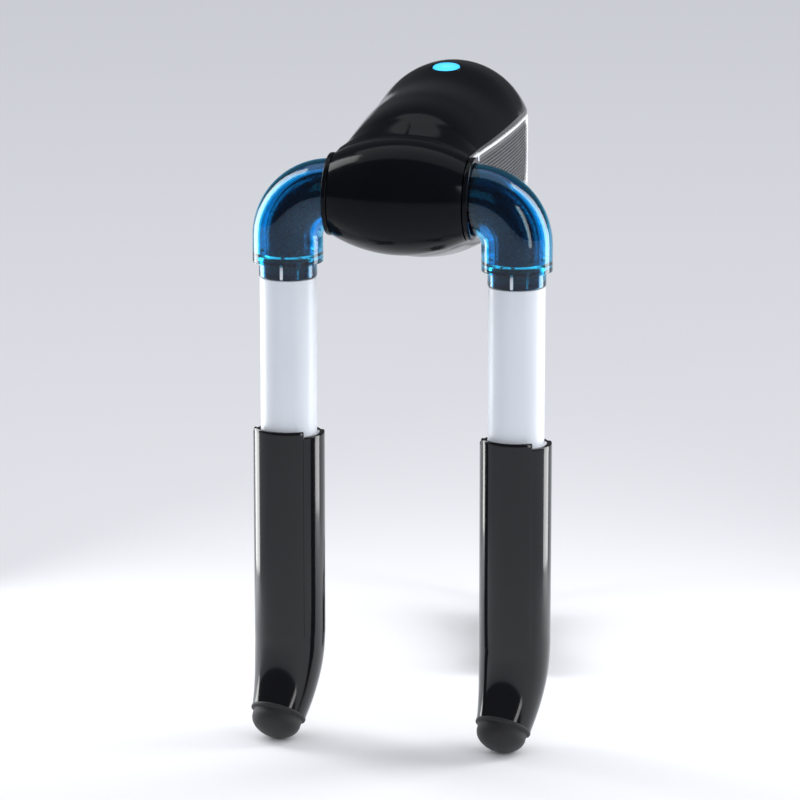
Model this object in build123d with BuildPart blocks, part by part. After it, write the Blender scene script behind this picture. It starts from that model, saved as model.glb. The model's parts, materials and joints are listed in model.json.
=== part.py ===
from build123d import *
import math
import os

# A two-tube boot dryer. The origin is the middle of the barrel, on the axis that the tubes fold about.
# +X runs along that axis, -Y is the toe side, the head reaches back along +Y, and +Z is up.

# Driving dimensions, mm
tube_spacing = 105.0        # centre to centre of the two tubes
wall = 2.2                  # case wall
fit_gap = 0.1               # radial gap of a running fit
part_gap = 0.3              # gap between pieces that move past each other

# Elbow radius, which the barrel, the bush, the neck and the tubes follow
elbow_radius = 16.0

# Barrel and head
barrel_half = 30.5          # half length of the fixed barrel
barrel_end_radius = elbow_radius + 2.8
barrel_mid_radius = barrel_end_radius + 7.7
head_length = 162.0         # barrel axis to the tip of the tail
head_half_width = 33.5
head_roof = 44.2            # highest point of the roof above the axis
head_belly = 44.0           # lowest point of the belly below the axis
parting = -19.0             # height of the joint between the two case halves

# Intake windows in the flanks
window_front = elbow_radius + 5.0
window_rear = head_length - 28.0
window_half = 15.6
trim_band = 1.8
trim_tail = 13.0            # width of the crescent behind each window
trim_proud = 0.5
grille_thickness = 1.2
slot_pitch = 8.0
slot_width = 3.4

# Elbow and neck
elbow_wall = 2.0
bend_radius = 20.0
journal_radius = elbow_radius - 2.0
journal_wall = 1.8
bush_wall = 1.9
bush_length = 9.0
collar_width = 2.4
elbow_drop = 27.0           # axis to the shoulder above the neck
neck_radius = elbow_radius - 2.8
neck_wall = 1.4
neck_length = 11.2
duct_radius = elbow_radius - 5.6
duct_wall = 1.2
ring_thickness = 1.2

# Telescopic tubes
inner_tube_radius = neck_radius - 0.4
inner_tube_wall = 2.1
spigot_length = 8.6
exposed_length = 72.1       # white tube showing when drawn out
wiper_length = 5.6
guide_length = 9.6
outer_tube_radius = inner_tube_radius + 3.5
outer_tube_wall = 2.4
straight_length = 94.0      # straight stretch of the outer tube
tip_bend_radius = 62.0
tip_bend_angle = 36.0       # how far the tip turns towards the toe, degrees
tip_radius = outer_tube_radius - 3.7
strip_half_angle = 53.0
strip_rise = 2.6            # cover strip above the tube's rim
rest_turn = 14.0            # how far both tubes are turned at rest, degrees
foot_radius = tip_radius - 1.2
foot_straight = 4.0
foot_dome = 8.0
foot_wall = 2.2
outlet_rows = 3
outlet_pitch = 2.8
outlet_gap = 1.5
outlet_width = 15.0

# Button and electronics
button_y = head_length - 62.0
button_radius = 6.4
button_slope = 9.0          # slope of the roof at the button, degrees
button_travel = 1.0
board_height = head_roof - 15.2
fan_radius = 25.0
fan_y = head_length - 78.0  # front face of the fan bulkhead
fan_depth = 22.0
motor_radius = 11.0
motor_length = 20.0
duct_half = 19.0            # half width of the square heater duct
duct_front = fan_y - 44.0

# Cord
cord_diameter = 4.4
cord_x = 8.0
relief_start = head_length - 22.0
relief_front = head_length - 16.0   # where the strain relief's taper begins
relief_end = head_length + 18.0
relief_groove_count = 4
relief_groove_pitch = 5.0

os.makedirs("parts", exist_ok=True)


def save(piece, name):
    """Label one finished piece and write it to its STEP file."""
    piece.part.label = name
    export_step(piece.part, f"parts/{name}.step")


def across(y):
    """Plane across the head at y, looking from the toe side: local X is +X and local Y is +Z."""
    return Plane(origin=(0, y, 0), x_dir=(1, 0, 0), z_dir=(0, -1, 0))


side_plane = Plane(origin=(0, 0, 0), x_dir=(0, 1, 0), z_dir=(1, 0, 0))


# Head sections from the barrel to the tail. Each has its place along the head, its half width, the
# heights of the roof, of the two flank edges and of the belly.
head_sections = [
    (0.0, barrel_half - 1.0, barrel_mid_radius - 0.6, 17.5, -17.5, 0.6 - barrel_mid_radius),
    (24.0, head_half_width - 2.6, 33.0, 18.6, -18.6, -31.5),
    (head_length - 112.0, head_half_width - 1.1, head_roof - 6.2, 19.2, -19.2, 6.6 - head_belly),
    (head_length - 82.0, head_half_width - 0.2, head_roof - 4.4, 19.6, -19.6, 1.6 - head_belly),
    (head_length - 54.0, head_half_width, head_roof, 20.0, -20.0, -head_belly),
    (window_rear, head_half_width - 1.4, head_roof - 4.4, 18.4, -18.0, 7.0 - head_belly),
    (head_length - 12.0, head_half_width - 5.6, head_roof - 15.2, 13.6, -13.6, 19.0 - head_belly),
    (head_length - 3.0, head_half_width - 14.5, 15.0, 7.4, -8.0, -12.8),
    (head_length, head_half_width - 23.5, 6.4, 3.6, -4.2, -5.6),
]


def head_solid(inset):
    """The head's outer form, drawn in by inset all round: a loft through its sections, and the barrel."""
    with BuildPart() as head:
        for number, (y, half, roof, eave, sill, belly) in enumerate(head_sections):
            place = y - inset if number == len(head_sections) - 1 else y
            w = half - inset
            edge_in = inset * 0.6
            with BuildSketch(across(place)):
                with BuildLine():
                    ThreePointArc((w, eave - edge_in), (0, roof - inset), (-w, eave - edge_in))
                    Line((-w, eave - edge_in), (-w, sill + edge_in))
                    ThreePointArc((-w, sill + edge_in), (0, belly + inset), (w, sill + edge_in))
                    Line((w, sill + edge_in), (w, eave - edge_in))
                make_face()
        loft()
        end = barrel_half - max(inset, 0)
        end_radius = barrel_end_radius - inset
        mid_radius = barrel_mid_radius - inset
        with BuildSketch(across(0)):
            with BuildLine():
                Line((-end, 0), (-end, end_radius))
                ThreePointArc((-end, end_radius), (0, mid_radius), (end, end_radius))
                Line((end, end_radius), (end, 0))
                Line((end, 0), (-end, 0))
            make_face()
        revolve(axis=Axis.X)
    return head.part


head_form = head_solid(0.0)
head_room = head_solid(wall)

bush_outer = journal_radius + fit_gap + bush_wall
bush_inner_end = barrel_half - bush_length
sides = [(-1, "left"), (1, "right")]

# Screw posts: across, along, height of the screw head
case_screws = [(19.5, 26.0, -24.2), (19.5, head_length - 38.0, -31.0)]
post_radius = 3.6
screw_radius = 1.4
screw_head_radius = 2.7
screw_head_height = 2.0
screw_length = 15.0
board_middle = head_length - 56.0
board_posts = [(12.0, board_middle - 14.5), (12.0, board_middle + 14.0)]
board_post_radius = 2.2
power_middle = head_length - 41.0
power_board_height = 13.0 - head_belly
power_posts = [(11.0, power_middle - 9.0), (11.0, power_middle + 9.0)]

# Room inside the case, with the bush bosses and the posts left standing
with BuildPart() as case_room:
    add(head_room)
    for side, name in sides:
        with BuildSketch(Plane(origin=(side * barrel_half, 0, 0), z_dir=(-side, 0, 0))):
            Circle(bush_outer + 1.8)
        extrude(amount=bush_length, mode=Mode.SUBTRACT)
    for x, y, head_z in case_screws:
        with BuildSketch(Plane.XY.offset(-head_belly)):
            with Locations((-x, y), (x, y)):
                Circle(post_radius)
        extrude(amount=head_belly + head_roof, mode=Mode.SUBTRACT)
    for x, y in board_posts:
        with BuildSketch(Plane.XY.offset(board_height)):
            with Locations((-x, y), (x, y)):
                Circle(board_post_radius)
        extrude(amount=head_roof, mode=Mode.SUBTRACT)
    for x, y in power_posts:
        with BuildSketch(Plane.XY.offset(power_board_height)):
            with Locations((-x, y), (x, y)):
                Circle(board_post_radius)
        extrude(amount=-head_belly, mode=Mode.SUBTRACT)


flank_depth = 23.4          # how far from the middle the flank openings reach in


def trim_outline(grow):
    """Side outline of the trim's outer edge: a long slot that ends in a crescent at the tail."""
    front = window_front - trim_band - grow
    top = window_half + trim_band + grow
    rear = window_rear + grow
    with BuildLine() as outline:
        Line((front, -top), (rear - 4, -top))
        ThreePointArc((rear - 4, -top), (rear + trim_tail, 0), (rear - 4, top))
        Line((rear - 4, top), (front, top))
        Line((front, top), (front, -top))
    return outline.line


def window_outline(grow):
    """Side outline of the intake window, rounded at the tail."""
    front = window_front - grow
    top = window_half + grow
    rear = window_rear + grow
    with BuildLine() as outline:
        Line((front, -top), (rear - 5, -top))
        ThreePointArc((rear - 5, -top), (rear, 0), (rear - 5, top))
        Line((rear - 5, top), (front, top))
        Line((front, top), (front, -top))
    return outline.line


def flank_prism(outline):
    """A prism on both flanks with that side outline, clear of the middle of the head."""
    with BuildPart() as prism:
        for side in (-1, 1):
            with BuildSketch(side_plane.offset(side * flank_depth)):
                add(outline)
                make_face()
            extrude(amount=side * 30)
    return prism.part


relief_plane = Plane(origin=(cord_x, relief_start, parting), x_dir=(1, 0, 0), z_dir=(0, 1, 0))
relief_flange_radius = 5.6
relief_neck_radius = 4.2
relief_tip_radius = cord_diameter / 2 + 0.8
relief_flange = 2.0

button_plane = Plane(origin=(0, button_y, head_roof - 1.6), x_dir=(1, 0, 0),
                     z_dir=(0, -math.sin(math.radians(button_slope)),
                            math.cos(math.radians(button_slope))))
bezel_radius = button_radius + 1.5

# Whole case with its openings, cut into halves at the parting plane
with BuildPart() as case:
    add(head_form)
    add(case_room.part, mode=Mode.SUBTRACT)
    add(flank_prism(trim_outline(0.0)), mode=Mode.SUBTRACT)
    for side, name in sides:
        with BuildSketch(Plane(origin=(side * (barrel_half + 1), 0, 0), z_dir=(-side, 0, 0))):
            Circle(bush_outer)
        extrude(amount=bush_length + 1.2, mode=Mode.SUBTRACT)
    with BuildSketch(button_plane.offset(-8)):
        Circle(bezel_radius)
    extrude(amount=20, mode=Mode.SUBTRACT)
    with BuildSketch(relief_plane.offset(relief_flange)):
        Circle(relief_neck_radius)
    extrude(amount=30, mode=Mode.SUBTRACT)
    for x, y, head_z in case_screws:
        with BuildSketch(Plane.XY.offset(-head_belly - 1)):
            with Locations((-x, y), (x, y)):
                Circle(screw_head_radius + 0.3)
        extrude(amount=head_belly + 1 + head_z + screw_head_height, mode=Mode.SUBTRACT)
        with BuildSketch(Plane.XY.offset(head_z)):
            with Locations((-x, y), (x, y)):
                Circle(screw_radius)
        extrude(amount=screw_length + 3, mode=Mode.SUBTRACT)

with BuildPart() as top_shell:
    add(case.part)
    split(bisect_by=Plane.XY.offset(parting), keep=Keep.TOP)
    # short moulding groove where the barrel meets the roof
    with BuildSketch(Plane.XY.offset(barrel_mid_radius - 0.4)):
        with Locations((0, 12)):
            Rectangle(0.6, 9)
    extrude(amount=10, mode=Mode.SUBTRACT)
save(top_shell, "top_shell")

with BuildPart() as bottom_shell:
    add(case.part)
    split(bisect_by=Plane.XY.offset(parting), keep=Keep.BOTTOM)
save(bottom_shell, "bottom_shell")

# Trim bands and intake grilles, cut from skins of the head's own form
with BuildPart() as trim_skin:
    add(head_solid(-trim_proud))
    add(head_solid(wall), mode=Mode.SUBTRACT)
    add(flank_prism(trim_outline(0.0)), mode=Mode.INTERSECT)
    add(flank_prism(window_outline(0.0)), mode=Mode.SUBTRACT)

with BuildPart() as grille_skin:
    add(head_solid(0.6))
    add(head_solid(0.6 + grille_thickness), mode=Mode.SUBTRACT)
    add(flank_prism(window_outline(0.0)), mode=Mode.INTERSECT)
    slot_count = int((window_rear - window_front - 12) // slot_pitch)
    slot_middle = (window_front + window_rear) / 2 - 1
    for row in (-1, 1):
        with BuildSketch(side_plane.offset(-60)):
            with Locations((slot_middle, row * window_half / 2)):
                with GridLocations(slot_pitch, 1, slot_count, 1):
                    SlotOverall(window_half - 3, slot_width, rotation=90)
        extrude(amount=120, mode=Mode.SUBTRACT)

for side, name in sides:
    keep_side = Keep.TOP if side > 0 else Keep.BOTTOM
    with BuildPart() as trim_ring:
        add(trim_skin.part)
        split(bisect_by=Plane.YZ, keep=keep_side)
    save(trim_ring, f"{name}_trim_ring")
    with BuildPart() as intake_grille:
        add(grille_skin.part)
        split(bisect_by=Plane.YZ, keep=keep_side)
    save(intake_grille, f"{name}_intake_grille")

with BuildPart() as case_screw_set:
    for x, y, head_z in case_screws:
        with BuildSketch(Plane.XY.offset(head_z)):
            with Locations((-x, y), (x, y)):
                Circle(screw_head_radius)
        extrude(amount=screw_head_height)
        with BuildSketch(Plane.XY.offset(head_z)):
            with Locations((-x, y), (x, y)):
                Circle(screw_radius)
        extrude(amount=screw_length)
        with BuildSketch(Plane.XY.offset(head_z)):
            with Locations((-x, y), (x, y)):
                Rectangle(3.0, 0.7)
                Rectangle(0.7, 3.0)
        extrude(amount=1.0, mode=Mode.SUBTRACT)
save(case_screw_set, "case_screws")

# Button, its bezel, and the boards
with BuildPart() as button_bezel:
    with BuildSketch(button_plane.offset(-4)):
        Circle(bezel_radius)
        Circle(button_radius + part_gap, mode=Mode.SUBTRACT)
    extrude(amount=8)
    add(head_solid(-0.3), mode=Mode.INTERSECT)
save(button_bezel, "button_bezel")

button_top = 1.0
with BuildPart() as button_cap:
    with BuildSketch(button_plane.offset(-3.4)):
        Circle(button_radius)
    extrude(amount=3.4 + button_top - 0.6)
    with BuildSketch(button_plane.offset(button_top - 0.6)):
        Circle(button_radius)
    extrude(amount=0.6, taper=45)
    with BuildSketch(button_plane.offset(-8.0)):
        Circle(2.0)
    extrude(amount=5.0)
save(button_cap, "button_cap")

board_thickness = 1.6
board_depth = 38.0
with BuildPart() as control_board:
    with BuildSketch(Plane.XY.offset(board_height - board_thickness)):
        with Locations((0, board_middle)):
            RectangleRounded(30, board_depth, 1.5)
        for x, y in board_posts:
            with Locations((-x, y), (x, y)):
                Circle(1.0, mode=Mode.SUBTRACT)
    extrude(amount=board_thickness)
save(control_board, "control_board")

switch_y = button_y + 8.0 * math.sin(math.radians(button_slope))
switch_top = head_roof - 1.6 - 8.0 * math.cos(math.radians(button_slope)) - button_travel - part_gap
with BuildPart() as tact_switch:
    with BuildSketch(Plane.XY.offset(board_height)):
        with Locations((0, switch_y)):
            Rectangle(6, 6)
    extrude(amount=switch_top - board_height - 0.8)
    with BuildSketch(Plane.XY.offset(switch_top - 0.8)):
        with Locations((0, switch_y)):
            Circle(1.6)
    extrude(amount=0.8)
save(tact_switch, "tact_switch")

with BuildPart() as button_leds:
    with BuildSketch(Plane.XY.offset(board_height)):
        with Locations((-5, button_y - 1), (5, button_y - 1)):
            Rectangle(2.0, 3.2)
    extrude(amount=1.4)
save(button_leds, "button_leds")

with BuildPart() as timer_chip:
    with BuildSketch(Plane.XY.offset(board_height)):
        with Locations((0, board_middle + 6)):
            Rectangle(7, 5)
    extrude(amount=1.5)
save(timer_chip, "timer_chip")

with BuildPart() as board_screws:
    for x, y in board_posts:
        with BuildSketch(Plane.XY.offset(board_height - board_thickness - 1.4)):
            with Locations((-x, y), (x, y)):
                Circle(2.0)
        extrude(amount=1.4)
save(board_screws, "board_screws")

with BuildPart() as power_board:
    with BuildSketch(Plane.XY.offset(power_board_height)):
        with Locations((0, power_middle)):
            RectangleRounded(26, 27, 1.5)
    extrude(amount=board_thickness)
save(power_board, "power_board")

component_base = power_board_height + board_thickness
with BuildPart() as transformer:
    with BuildSketch(Plane.XY.offset(component_base)):
        with Locations((-5.5, power_middle + 4)):
            Rectangle(14, 13)
    extrude(amount=11)
save(transformer, "transformer")

with BuildPart() as capacitors:
    for x, y, radius, height in ((7.0, -7.0, 4.0, 11.0), (8.0, 4.0, 3.2, 9.0), (-8.0, -9.0, 2.6, 8.0)):
        with BuildSketch(Plane.XY.offset(component_base)):
            with Locations((x, power_middle + y)):
                Circle(radius)
        extrude(amount=height)
save(capacitors, "capacitors")

# Fan: bulkhead and shroud in one frame, the motor behind it, and the impeller
shroud_wall = 1.4
strut_count = 3
with BuildPart() as fan_frame:
    add(head_solid(wall + fit_gap))
    with BuildSketch(across(fan_y + 2.0)):
        Rectangle(3 * head_half_width, 3 * head_half_width)
    extrude(amount=2.0, mode=Mode.INTERSECT)
    with BuildSketch(across(fan_y + fan_depth)):
        Circle(fan_radius + shroud_wall)
    extrude(amount=fan_depth)
    with BuildSketch(across(fan_y + fan_depth + 1)):
        Circle(fan_radius)
    extrude(amount=fan_depth + 2, mode=Mode.SUBTRACT)
    with BuildSketch(across(fan_y + fan_depth)):
        with PolarLocations((fan_radius + motor_radius) / 2, strut_count, start_angle=90):
            Rectangle(fan_radius - motor_radius + 1, 2.4)
        Circle(motor_radius + 1.4)
        Circle(motor_radius, mode=Mode.SUBTRACT)
    extrude(amount=3.0)
save(fan_frame, "fan_frame")

motor_front = fan_y + fan_depth - 3.0
shaft_radius = 1.0
with BuildPart() as fan_motor:
    with BuildSketch(across(motor_front + motor_length)):
        Circle(motor_radius)
    extrude(amount=motor_length)
    with BuildSketch(across(motor_front)):
        Circle(shaft_radius)
    extrude(amount=12)
    with BuildSketch(across(motor_front + motor_length + 2)):
        Circle(3.2)
    extrude(amount=2)
save(fan_motor, "fan_motor")

impeller_depth = 12.0
impeller_front = motor_front - 1.0 - impeller_depth
hub_radius = 8.0
blade_count = 7
with BuildPart() as impeller:
    with BuildSketch(across(impeller_front + impeller_depth)):
        Circle(hub_radius)
        Circle(shaft_radius, mode=Mode.SUBTRACT)
    extrude(amount=impeller_depth)
    for number in range(blade_count):
        angle = math.radians(360 * number / blade_count)
        outward = Vector(math.cos(angle), 0, math.sin(angle))
        root = Plane(origin=outward * (hub_radius - 1) + Vector(0, impeller_front + impeller_depth / 2, 0),
                     x_dir=(0, 1, 0), z_dir=outward)
        with BuildSketch(root):
            Rectangle(impeller_depth * 0.96, 1.1, rotation=38)
        extrude(amount=fan_radius - part_gap * 2 - hub_radius)
save(impeller, "impeller")

# Heater behind the barrel: a square duct, the ceramic bars and their fins in a frame, and a cut-out
duct_length = fan_y - duct_front
with BuildPart() as heater_duct:
    with BuildSketch(across(fan_y)):
        Rectangle(2 * duct_half, 2 * duct_half)
        Rectangle(2 * duct_half - 2, 2 * duct_half - 2, mode=Mode.SUBTRACT)
    extrude(amount=duct_length)
save(heater_duct, "heater_duct")

heater_front = duct_front + 12.0
heater_depth = 16.0
heater_half = duct_half - 1.0
bar_height = 3.0
with BuildPart() as heater_frame:
    with BuildSketch(across(heater_front + heater_depth)):
        Rectangle(2 * heater_half, 2 * heater_half)
        Rectangle(2 * heater_half - 3, 2 * heater_half - 3, mode=Mode.SUBTRACT)
    extrude(amount=heater_depth)
save(heater_frame, "heater_frame")

core_half = heater_half - 1.5
bar_offset = core_half / 3
with BuildPart() as heater_bars:
    with BuildSketch(across(heater_front + heater_depth - 1)):
        with Locations((0, -bar_offset), (0, bar_offset)):
            Rectangle(2 * core_half, bar_height)
    extrude(amount=heater_depth - 2)
save(heater_bars, "heater_bars")

fin_pitch = 3.0
fin_wall = 0.6
with BuildPart() as heater_fins:
    for low, high in ((-core_half, -bar_offset - bar_height / 2),
                      (-bar_offset + bar_height / 2, bar_offset - bar_height / 2),
                      (bar_offset + bar_height / 2, core_half)):
        with BuildSketch(across(heater_front + heater_depth - 1)):
            with Locations((0, (low + high) / 2)):
                Rectangle(2 * core_half, high - low)
                with GridLocations(fin_pitch, 1, int(2 * core_half // fin_pitch), 1):
                    Rectangle(fin_pitch - fin_wall, high - low - 2 * fin_wall, mode=Mode.SUBTRACT)
        extrude(amount=heater_depth - 2)
save(heater_fins, "heater_fins")

with BuildPart() as thermal_cutout:
    with BuildSketch(Plane.XY.offset(duct_half)):
        with Locations((0, heater_front + heater_depth / 2)):
            Circle(4.5)
    extrude(amount=3.2)
save(thermal_cutout, "thermal_cutout")

# Wedge that sends the air to both ends of the barrel
with BuildPart() as air_divider:
    with BuildSketch(Plane.XY.offset(-13)):
        with BuildLine():
            ThreePointArc((0, 18), (4.6, 2), (15, -10))
            Line((15, -10), (15, -14))
            Line((15, -14), (-15, -14))
            Line((-15, -14), (-15, -10))
            ThreePointArc((-15, -10), (-4.6, 2), (0, 18))
        make_face()
    extrude(amount=26)
save(air_divider, "air_divider")

# One leg: elbow, its liner and bush, the neck, the telescopic tube and the foot
tube_x = tube_spacing / 2
bend_start = tube_x - bend_radius
journal_start = bush_inner_end - ring_thickness - part_gap - 1.2
neck_end = -elbow_drop - neck_length
rim = neck_end - exposed_length
inner_end = rim - wiper_length - 0.4 - guide_length - 0.7
spigot_top = neck_end + spigot_length
outer_bore = outer_tube_radius - outer_tube_wall
spigot_radius = neck_radius - neck_wall - fit_gap
bend_top = rim - straight_length
strip_seat = outer_tube_radius - 1.2
toe_angle = math.radians(rest_turn)
toe = Vector(-math.sin(toe_angle), -math.cos(toe_angle), 0)


def leg_plane(x, z, down=False):
    """Level plane on a tube's axis at height z, turned so that local -Y points at the toe."""
    turned = (math.cos(toe_angle), -math.sin(toe_angle), 0)
    return Plane(origin=(x, 0, z), x_dir=turned, z_dir=(0, 0, -1 if down else 1))


def tip_plane(x, degrees):
    """Plane across the bent tip where it has turned through degrees, facing down the tip."""
    turn = math.radians(degrees)
    shift = tip_bend_radius * (1 - math.cos(turn))
    drop = tip_bend_radius * math.sin(turn)
    centre = Vector(x, 0, bend_top - drop) + toe * shift
    down_tip = toe * math.sin(turn) - Vector(0, 0, math.cos(turn))
    return Plane(origin=centre, x_dir=(math.cos(toe_angle), -math.sin(toe_angle), 0), z_dir=down_tip)


def elbow_line(side, start, end_z):
    """The elbow's centre line, from start along X round the bend and down to end_z."""
    with BuildLine() as path:
        Line((side * start, 0, 0), (side * bend_start, 0, 0))
        half_way = bend_radius * math.sqrt(0.5)
        ThreePointArc((side * bend_start, 0, 0), (side * (bend_start + half_way), 0, half_way - bend_radius),
                      (side * tube_x, 0, -bend_radius))
        Line((side * tube_x, 0, -bend_radius), (side * tube_x, 0, end_z))
    return path.line


def elbow_sweep(side, start, end_z, radius):
    """A round bar of that radius along the elbow's centre line."""
    with BuildPart() as bar:
        with BuildLine():
            add(elbow_line(side, start, end_z))
        with BuildSketch(Plane(origin=(side * start, 0, 0), z_dir=(side, 0, 0))):
            Circle(radius)
        sweep()
    return bar.part


tip_steps = [(0.0, outer_tube_radius), (12.0, outer_tube_radius - 0.5),
             (24.0, outer_tube_radius - 1.9), (tip_bend_angle, tip_radius)]

for side, name in sides:
    x = side * tube_x
    outwards = (side, 0, 0)

    with BuildPart() as swivel_bush:
        with BuildSketch(Plane(origin=(side * bush_inner_end, 0, 0), z_dir=outwards)):
            Circle(bush_outer)
            Circle(journal_radius + fit_gap, mode=Mode.SUBTRACT)
        extrude(amount=bush_length)
    save(swivel_bush, f"{name}_swivel_bush")

    with BuildPart() as elbow_shell:
        with BuildSketch(Plane(origin=(side * journal_start, 0, 0), z_dir=outwards)):
            Circle(journal_radius)
        extrude(amount=barrel_half + part_gap - journal_start)
        add(elbow_sweep(side, barrel_half + part_gap, -elbow_drop, elbow_radius))
        with BuildSketch(Plane(origin=(x, 0, -elbow_drop), z_dir=(0, 0, -1))):
            Circle(neck_radius)
        extrude(amount=neck_length)
        with BuildSketch(Plane(origin=(side * (journal_start - 1), 0, 0), z_dir=outwards)):
            Circle(journal_radius - journal_wall)
        extrude(amount=barrel_half - journal_start + 3, mode=Mode.SUBTRACT)
        add(elbow_sweep(side, barrel_half + part_gap + 0.9, 2.0 - elbow_drop, elbow_radius - elbow_wall),
            mode=Mode.SUBTRACT)
        with BuildSketch(Plane(origin=(x, 0, 3.0 - elbow_drop), z_dir=(0, 0, -1))):
            Circle(neck_radius - neck_wall)
        extrude(amount=neck_length + 4, mode=Mode.SUBTRACT)
        # snap slit in the neck, on the toe side
        with BuildSketch(leg_plane(x, neck_end - 1)):
            with Locations((0, -neck_radius)):
                Rectangle(1.8, 2 * neck_wall + 1)
        extrude(amount=7.5, mode=Mode.SUBTRACT)
        # groove for the retaining ring
        with BuildSketch(Plane(origin=(side * (bush_inner_end - part_gap), 0, 0), z_dir=(-side, 0, 0))):
            Circle(journal_radius + 1)
            Circle(journal_radius - 0.8, mode=Mode.SUBTRACT)
        extrude(amount=ring_thickness, mode=Mode.SUBTRACT)
    save(elbow_shell, f"{name}_elbow_shell")

    with BuildPart() as retaining_ring:
        with BuildSketch(Plane(origin=(side * (bush_inner_end - part_gap), 0, 0), z_dir=(-side, 0, 0))):
            Circle(journal_radius + 1.6)
            Circle(journal_radius - 0.8, mode=Mode.SUBTRACT)
            with Locations((0, journal_radius)):
                Rectangle(3, 6, mode=Mode.SUBTRACT)
        extrude(amount=ring_thickness)
    save(retaining_ring, f"{name}_retaining_ring")

    with BuildPart() as ring_collar:
        with BuildSketch(Plane(origin=(side * (barrel_half + part_gap), 0, 0), z_dir=outwards)):
            Circle(barrel_end_radius)
            Circle(elbow_radius + 0.05, mode=Mode.SUBTRACT)
        extrude(amount=collar_width)
        fillet(ring_collar.edges().filter_by(GeomType.CIRCLE).group_by(Axis.X)[-1 if side > 0 else 0]
               .sort_by(SortBy.RADIUS)[-1], radius=0.8)
    save(ring_collar, f"{name}_ring_collar")

    with BuildPart() as air_liner:
        add(elbow_sweep(side, journal_start + 1, spigot_top + 1.5, duct_radius))
        with BuildSketch(Plane(origin=(side * (journal_start + 1), 0, 0), z_dir=outwards)):
            Circle(journal_radius - journal_wall)
        extrude(amount=2)
        with BuildSketch(Plane(origin=(x, 0, spigot_top + 1.5), z_dir=(0, 0, 1))):
            Circle(neck_radius - neck_wall)
        extrude(amount=1.2)
        add(elbow_sweep(side, journal_start, spigot_top + 0.5, duct_radius - duct_wall), mode=Mode.SUBTRACT)
    save(air_liner, f"{name}_air_liner")

    with BuildPart() as inner_tube:
        with BuildSketch(leg_plane(x, neck_end - part_gap)):
            Circle(spigot_radius)
        extrude(amount=spigot_length)
        with BuildSketch(leg_plane(x, neck_end - part_gap)):
            Circle(inner_tube_radius)
        extrude(amount=inner_end - neck_end + part_gap)
        with BuildSketch(leg_plane(x, inner_end - 1)):
            Circle(inner_tube_radius - inner_tube_wall)
        extrude(amount=neck_end - inner_end, mode=Mode.SUBTRACT)
        with BuildSketch(leg_plane(x, neck_end - 2)):
            Circle(spigot_radius - 1.5)
        extrude(amount=spigot_length + 4, mode=Mode.SUBTRACT)
        # seat of the friction ring
        with BuildSketch(leg_plane(x, neck_end + 4.0)):
            Circle(spigot_radius + 1)
            Circle(spigot_radius - 0.7, mode=Mode.SUBTRACT)
        extrude(amount=1.4, mode=Mode.SUBTRACT)
    save(inner_tube, f"{name}_inner_tube")

    with BuildPart() as friction_ring:
        with BuildSketch(leg_plane(x, neck_end + 4.0)):
            Circle(spigot_radius)
            Circle(spigot_radius - 0.7, mode=Mode.SUBTRACT)
        extrude(amount=1.4)
    save(friction_ring, f"{name}_friction_ring")

    with BuildPart() as guide_ring:
        with BuildSketch(leg_plane(x, inner_end + 0.7)):
            Circle(outer_bore - fit_gap)
            Circle(inner_tube_radius, mode=Mode.SUBTRACT)
        extrude(amount=guide_length)
    save(guide_ring, f"{name}_guide_ring")

    with BuildPart() as wiper_ring:
        with BuildSketch(leg_plane(x, rim - wiper_length)):
            Circle(outer_bore)
            Circle(inner_tube_radius + fit_gap, mode=Mode.SUBTRACT)
        extrude(amount=wiper_length - 0.4)
    save(wiper_ring, f"{name}_wiper_ring")

    with BuildPart() as outer_tube:
        with BuildSketch(leg_plane(x, rim)):
            Circle(outer_tube_radius)
        extrude(amount=-straight_length)
        for degrees, radius in tip_steps:
            with BuildSketch(tip_plane(x, degrees)):
                Circle(radius)
        loft()
        with BuildSketch(leg_plane(x, rim + 1)):
            Circle(outer_bore)
        extrude(amount=-straight_length - 1, mode=Mode.SUBTRACT)
        for degrees, radius in tip_steps:
            with BuildSketch(tip_plane(x, degrees)):
                Circle(radius - outer_tube_wall)
        loft(mode=Mode.SUBTRACT)
        # seat of the cover strip
        with BuildSketch(leg_plane(x, rim + 1)):
            with BuildLine():
                half = math.radians(strip_half_angle + 0.6)
                far = 2 * outer_tube_radius
                Polyline((0, 0), (far * math.sin(half), -far * math.cos(half)), (0, -2 * far),
                         (-far * math.sin(half), -far * math.cos(half)), close=True)
            make_face()
            Circle(strip_seat, mode=Mode.SUBTRACT)
        extrude(amount=-straight_length - 1, mode=Mode.SUBTRACT)
    save(outer_tube, f"{name}_outer_tube")

    with BuildPart() as cover_strip:
        with BuildSketch(leg_plane(x, rim + strip_rise)):
            Circle(outer_tube_radius)
            Circle(strip_seat, mode=Mode.SUBTRACT)
            with BuildLine():
                half = math.radians(strip_half_angle)
                far = 2 * outer_tube_radius
                Polyline((0, 0), (far * math.sin(half), -far * math.cos(half)), (0, -2 * far),
                         (-far * math.sin(half), -far * math.cos(half)), close=True)
            make_face(mode=Mode.INTERSECT)
        extrude(amount=-straight_length - strip_rise)
    save(cover_strip, f"{name}_cover_strip")

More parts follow.
